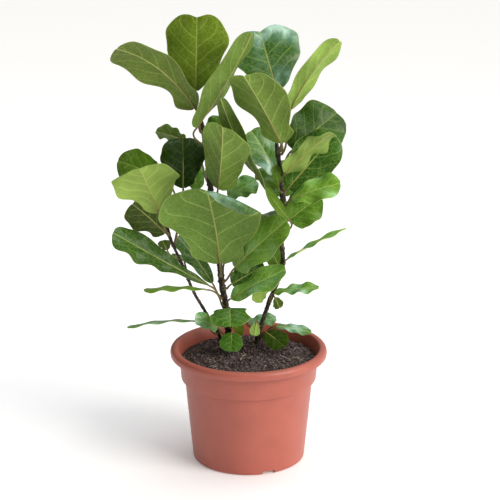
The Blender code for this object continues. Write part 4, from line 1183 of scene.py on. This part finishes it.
def pot_material(settings):
    """Injection-moulded polypropylene in terracotta: an even, slightly mottled colour with a soft satin
    sheen, and a faint pebbled skin."""
    material, tree, shader = new_material("Polypropylene, moulded", {"IOR": 1.49})
    found = {"place": add_node(tree, "ShaderNodeTexCoord").outputs["Object"]}
    found["colour"] = tuple(settings.colour)
    add_steps(tree, found, (
        ("cloudy", "NOISE", "place", every(45), 4.0),
        ("shade", "RANGE", "cloudy", 0.3, 0.7, 0.93, 1.07),
        ("mottled", "SCALE", "colour", "shade"),
        ("rough", "RANGE", "cloudy", 0.0, 1.0, settings.roughness - 0.06, settings.roughness + 0.06),
        # Pebbling of about 1 mm, coarser than life so that it shows.
        ("pebbled", "NOISE", "place", every(1.111)),
        ("bump", "BUMP", "pebbled", 0.12, 0.2 * MM),
    ))
    feed(tree, shader, {"Base Color": found["mottled"], "Roughness": found["rough"], "Normal": found["bump"]})
    return material


# ---- stage ----

# Each lamp's name, kind, place, size (a sun's is the angle that it fills), strength and colour.
LAMPS = (
    ("window", "SUN", (2.6, -1.7, 2.2), math.radians(38), 2.3, "#fffaf4"),
    ("overhead", "AREA", (0.2, 0.5, 2.6), 2.4, 26, "#f4f8ff"),
)
LAMPS_AIM = (0.0, 0.0, 0.45)
# The camera's focal length in millimetres, its place, and how many degrees it looks down.
CAMERA_LENS, CAMERA_PLACE, CAMERA_DIP = 130.6, (0.0025, -3.057, 1.3426), 17.335
FLOOR_REACH, FLOOR_DROP = 6, -0.5 * MM


def add_lamp(name, kind, place, size, power, colour):
    """A lamp that looks at the middle of the plant."""
    lamp = bpy.data.lights.new(name, kind)
    setattr(lamp, "angle" if kind == "SUN" else "size", size)
    lamp.energy = power
    lamp.color = linear(colour)[:3]
    holder = add_object(name, lamp)
    holder.location = place
    x, y, z = np.array(LAMPS_AIM) - np.array(place)
    holder.rotation_euler = (math.atan2(math.hypot(x, y), -z), 0.0, math.atan2(y, x) - math.pi / 2)


def studio_world():
    """A pale studio dome, brighter overhead and on the right, where the window is. Seen directly it is an
    even pale backdrop, whichever way the camera looks."""
    world = bpy.data.worlds.new("studio")
    world.use_nodes = True
    tree = world.node_tree
    looks = add_node(tree, "ShaderNodeTexCoord").outputs["Generated"]
    looks = add_node(tree, "ShaderNodeSeparateXYZ", {0: looks})
    dome = add_node(tree, "ShaderNodeValToRGB", {"Fac": looks.outputs["Z"]},
                    stops=[(0.0, "#a3a3a3"), (0.3, "#c4c4c4"), (1.0, "#fafafa")])
    found = {"x": looks.outputs["X"], "dome": dome.outputs[0],
             "seen": add_node(tree, "ShaderNodeLightPath").outputs["Is Camera Ray"]}
    add_steps(tree, found, (
        ("sideways", "RANGE", "x", -0.8, 0.9, 0.12, 1.2),
        ("colour", "MIX", "seen", "dome", "#f7f7f5"),
    ))
    strength = add_node(tree, "ShaderNodeMix", {0: found["seen"], 2: found["sideways"], 3: 1.0},
                        data_type="FLOAT")
    feed(tree, tree.nodes["Background"], {"Color": found["colour"], "Strength": strength})
    return world


# ---- operators ----


class FIG_OT_pot(bpy.types.Operator):
    """Turns the pot, cuts its foot notches and drains, and gives it its moulded skin."""

    bl_idname = "fig.pot"
    bl_label = "Pot"

    def execute(self, context):
        points, faces = turned_mesh(pot_section(), POT_SIDES)
        piece = add_object("nursery_pot", new_mesh("nursery_pot", points, [], faces))
        blocks = [notch_block(angle) for angle in NOTCH_ANGLES]
        cut(piece, blocks + [drain_block(angle) for angle in DRAIN_ANGLES])
        piece.data.materials.clear()
        piece.data.materials.append(pot_material(context.scene.fig_pot))
        settle(piece, "terracotta_plastic", "pot", crease=30)
        return {"FINISHED"}


class FIG_OT_soil(bpy.types.Operator):
    """Lays the potting mix and strews its top with crumbs, perlite and fibres."""

    bl_idname = "fig.soil"
    bl_label = "Potting Mix"

    def execute(self, context):
        settings = context.scene.fig_soil
        sizes = {"Relief": settings.relief, "Crumb size": settings.crumb_size,
                 "Crumb density": settings.crumb_density, "Perlite density": settings.perlite_density,
                 "Fibre density": settings.fibre_density, "Seed": SOIL_SEED}
        grains = (
            ("Potting mix, damp peat", [(0.3, "#1f1918"), (0.5, "#423634"), (0.7, "#74645f")], 2.38, 0.95),
            ("Composted bark crumbs", [(0.3, "#241c1c"), (0.5, "#4b3d3b"), (0.62, "#7c6c66"),
                                       (0.75, "#948a7c")], 6.25, 0.9),
            ("Perlite", [(0.3, "#a9a294"), (0.7, "#e2dccd")], 3.33, 0.85),
            ("Coir fibres", [(0.3, "#8d857a"), (0.7, "#cfc8bc")], 8.33, 0.8),
        )
        tree = soil_tree(sizes, *(grain_material(*grain) for grain in grains))
        settle(grown("potting_mix", soil_guide(), tree, sizes), "potting_mix", "soil", crease=60)
        return {"FINISHED"}


class FIG_OT_stems(bpy.types.Operator):
    """Grows the three woody stems."""

    bl_idname = "fig.stems"
    bl_label = "Stems"

    def execute(self, context):
        settings = context.scene.fig_bark
        sizes = {"Bark relief": settings.relief, "Scar spacing": settings.scar_spacing, "Sides": STEM_SIDES}
        tree = stem_tree(sizes, bark_material())
        for name in STEMS:
            piece = grown("woody_stem_" + name, stem_guide(name), tree, sizes)
            settle(piece, "bark", "stem_" + name, crease=60)
        return {"FINISHED"}


class FIG_OT_leaves(bpy.types.Operator):
    """Grows every leaf with its petiole."""

    bl_idname = "fig.leaves"
    bl_label = "Leaves"

    def execute(self, context):
        settings = context.scene.fig_leaves
        sizes = {"Thickness": settings.thickness, "Pucker": settings.pucker,
                 "Vein ridge": settings.vein_ridge, "Stalk sides": STALK_SIDES}
        tree = leaf_tree(sizes, leaf_material(settings), stalk_material())
        slots = {part["node"]: part["material_slot"] for part in frame["record"]["subparts"]}
        for seed, (name, one) in enumerate(LEAVES.items()):
            piece = grown("fig_leaf_" + name, leaf_guide(name, one, settings.cell, seed), tree, sizes)
            settle(piece, slots["leaf_" + name], "leaf_" + name, crease=50)
        return {"FINISHED"}


class FIG_OT_stage(bpy.types.Operator):
    """Sets the pale floor, the soft light and the camera."""

    bl_idname = "fig.stage"
    bl_label = "Stage"

    def execute(self, context):
        scene = context.scene
        points = [(x * FLOOR_REACH, y * FLOOR_REACH, FLOOR_DROP)
                  for x, y in ((-1, -1), (1, -1), (1, 1), (-1, 1))]
        floor = add_object("floor", new_mesh("floor", points, [], [(0, 1, 2, 3)]))
        material, _, _ = new_material("Paper, pale backdrop", {
            "Roughness": 0.9, "Base Color": linear("#fbfbfa"), "Emission Color": linear("#ffffff"),
            "Emission Strength": 0.16})
        floor.data.materials.append(material)
        scene.world = studio_world()
        scene.view_settings.view_transform = "Standard"
        for lamp in LAMPS:
            add_lamp(*lamp)
        camera = bpy.data.cameras.new("camera")
        camera.lens = CAMERA_LENS
        scene.camera = add_object("camera", camera)
        scene.camera.location = CAMERA_PLACE
        scene.camera.rotation_euler = (math.radians(90 - CAMERA_DIP), 0.0, 0.0)
        return {"FINISHED"}


class FIG_PT_panel(bpy.types.Panel):
    """Lists the steps that dress the fig."""

    bl_idname = "FIG_PT_panel"
    bl_label = "Potted Fiddle Leaf Fig"
    bl_space_type = "VIEW_3D"
    bl_region_type = "UI"
    bl_category = "Fig"

    def draw(self, context):
        for operator in OPERATORS:
            self.layout.operator(operator.bl_idname)
        for group in GROUPS:
            settings = getattr(context.scene, group)
            for name in settings.__annotations__:
                self.layout.prop(settings, name)


OPERATORS = (FIG_OT_pot, FIG_OT_soil, FIG_OT_stems, FIG_OT_leaves, FIG_OT_stage)
GROUPS = {"fig_leaves": FigLeafSettings, "fig_bark": FigBarkSettings, "fig_soil": FigSoilSettings,
          "fig_pot": FigPotSettings}


def register():
    for group in GROUPS.values():
        bpy.utils.register_class(group)
    for name, group in GROUPS.items():
        setattr(bpy.types.Scene, name, bpy.props.PointerProperty(type=group))
    for one in (*OPERATORS, FIG_PT_panel):
        bpy.utils.register_class(one)


def unregister():
    for one in (FIG_PT_panel, *reversed(OPERATORS)):
        bpy.utils.unregister_class(one)
    for name, group in GROUPS.items():
        delattr(bpy.types.Scene, name)
        bpy.utils.unregister_class(group)


def main():
    register()
    bpy.ops.fig.pot()
    bpy.ops.fig.soil()
    bpy.ops.fig.stems()
    bpy.ops.fig.leaves()
    bpy.ops.fig.stage()
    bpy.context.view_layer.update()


if __name__ == "__main__":
    main()
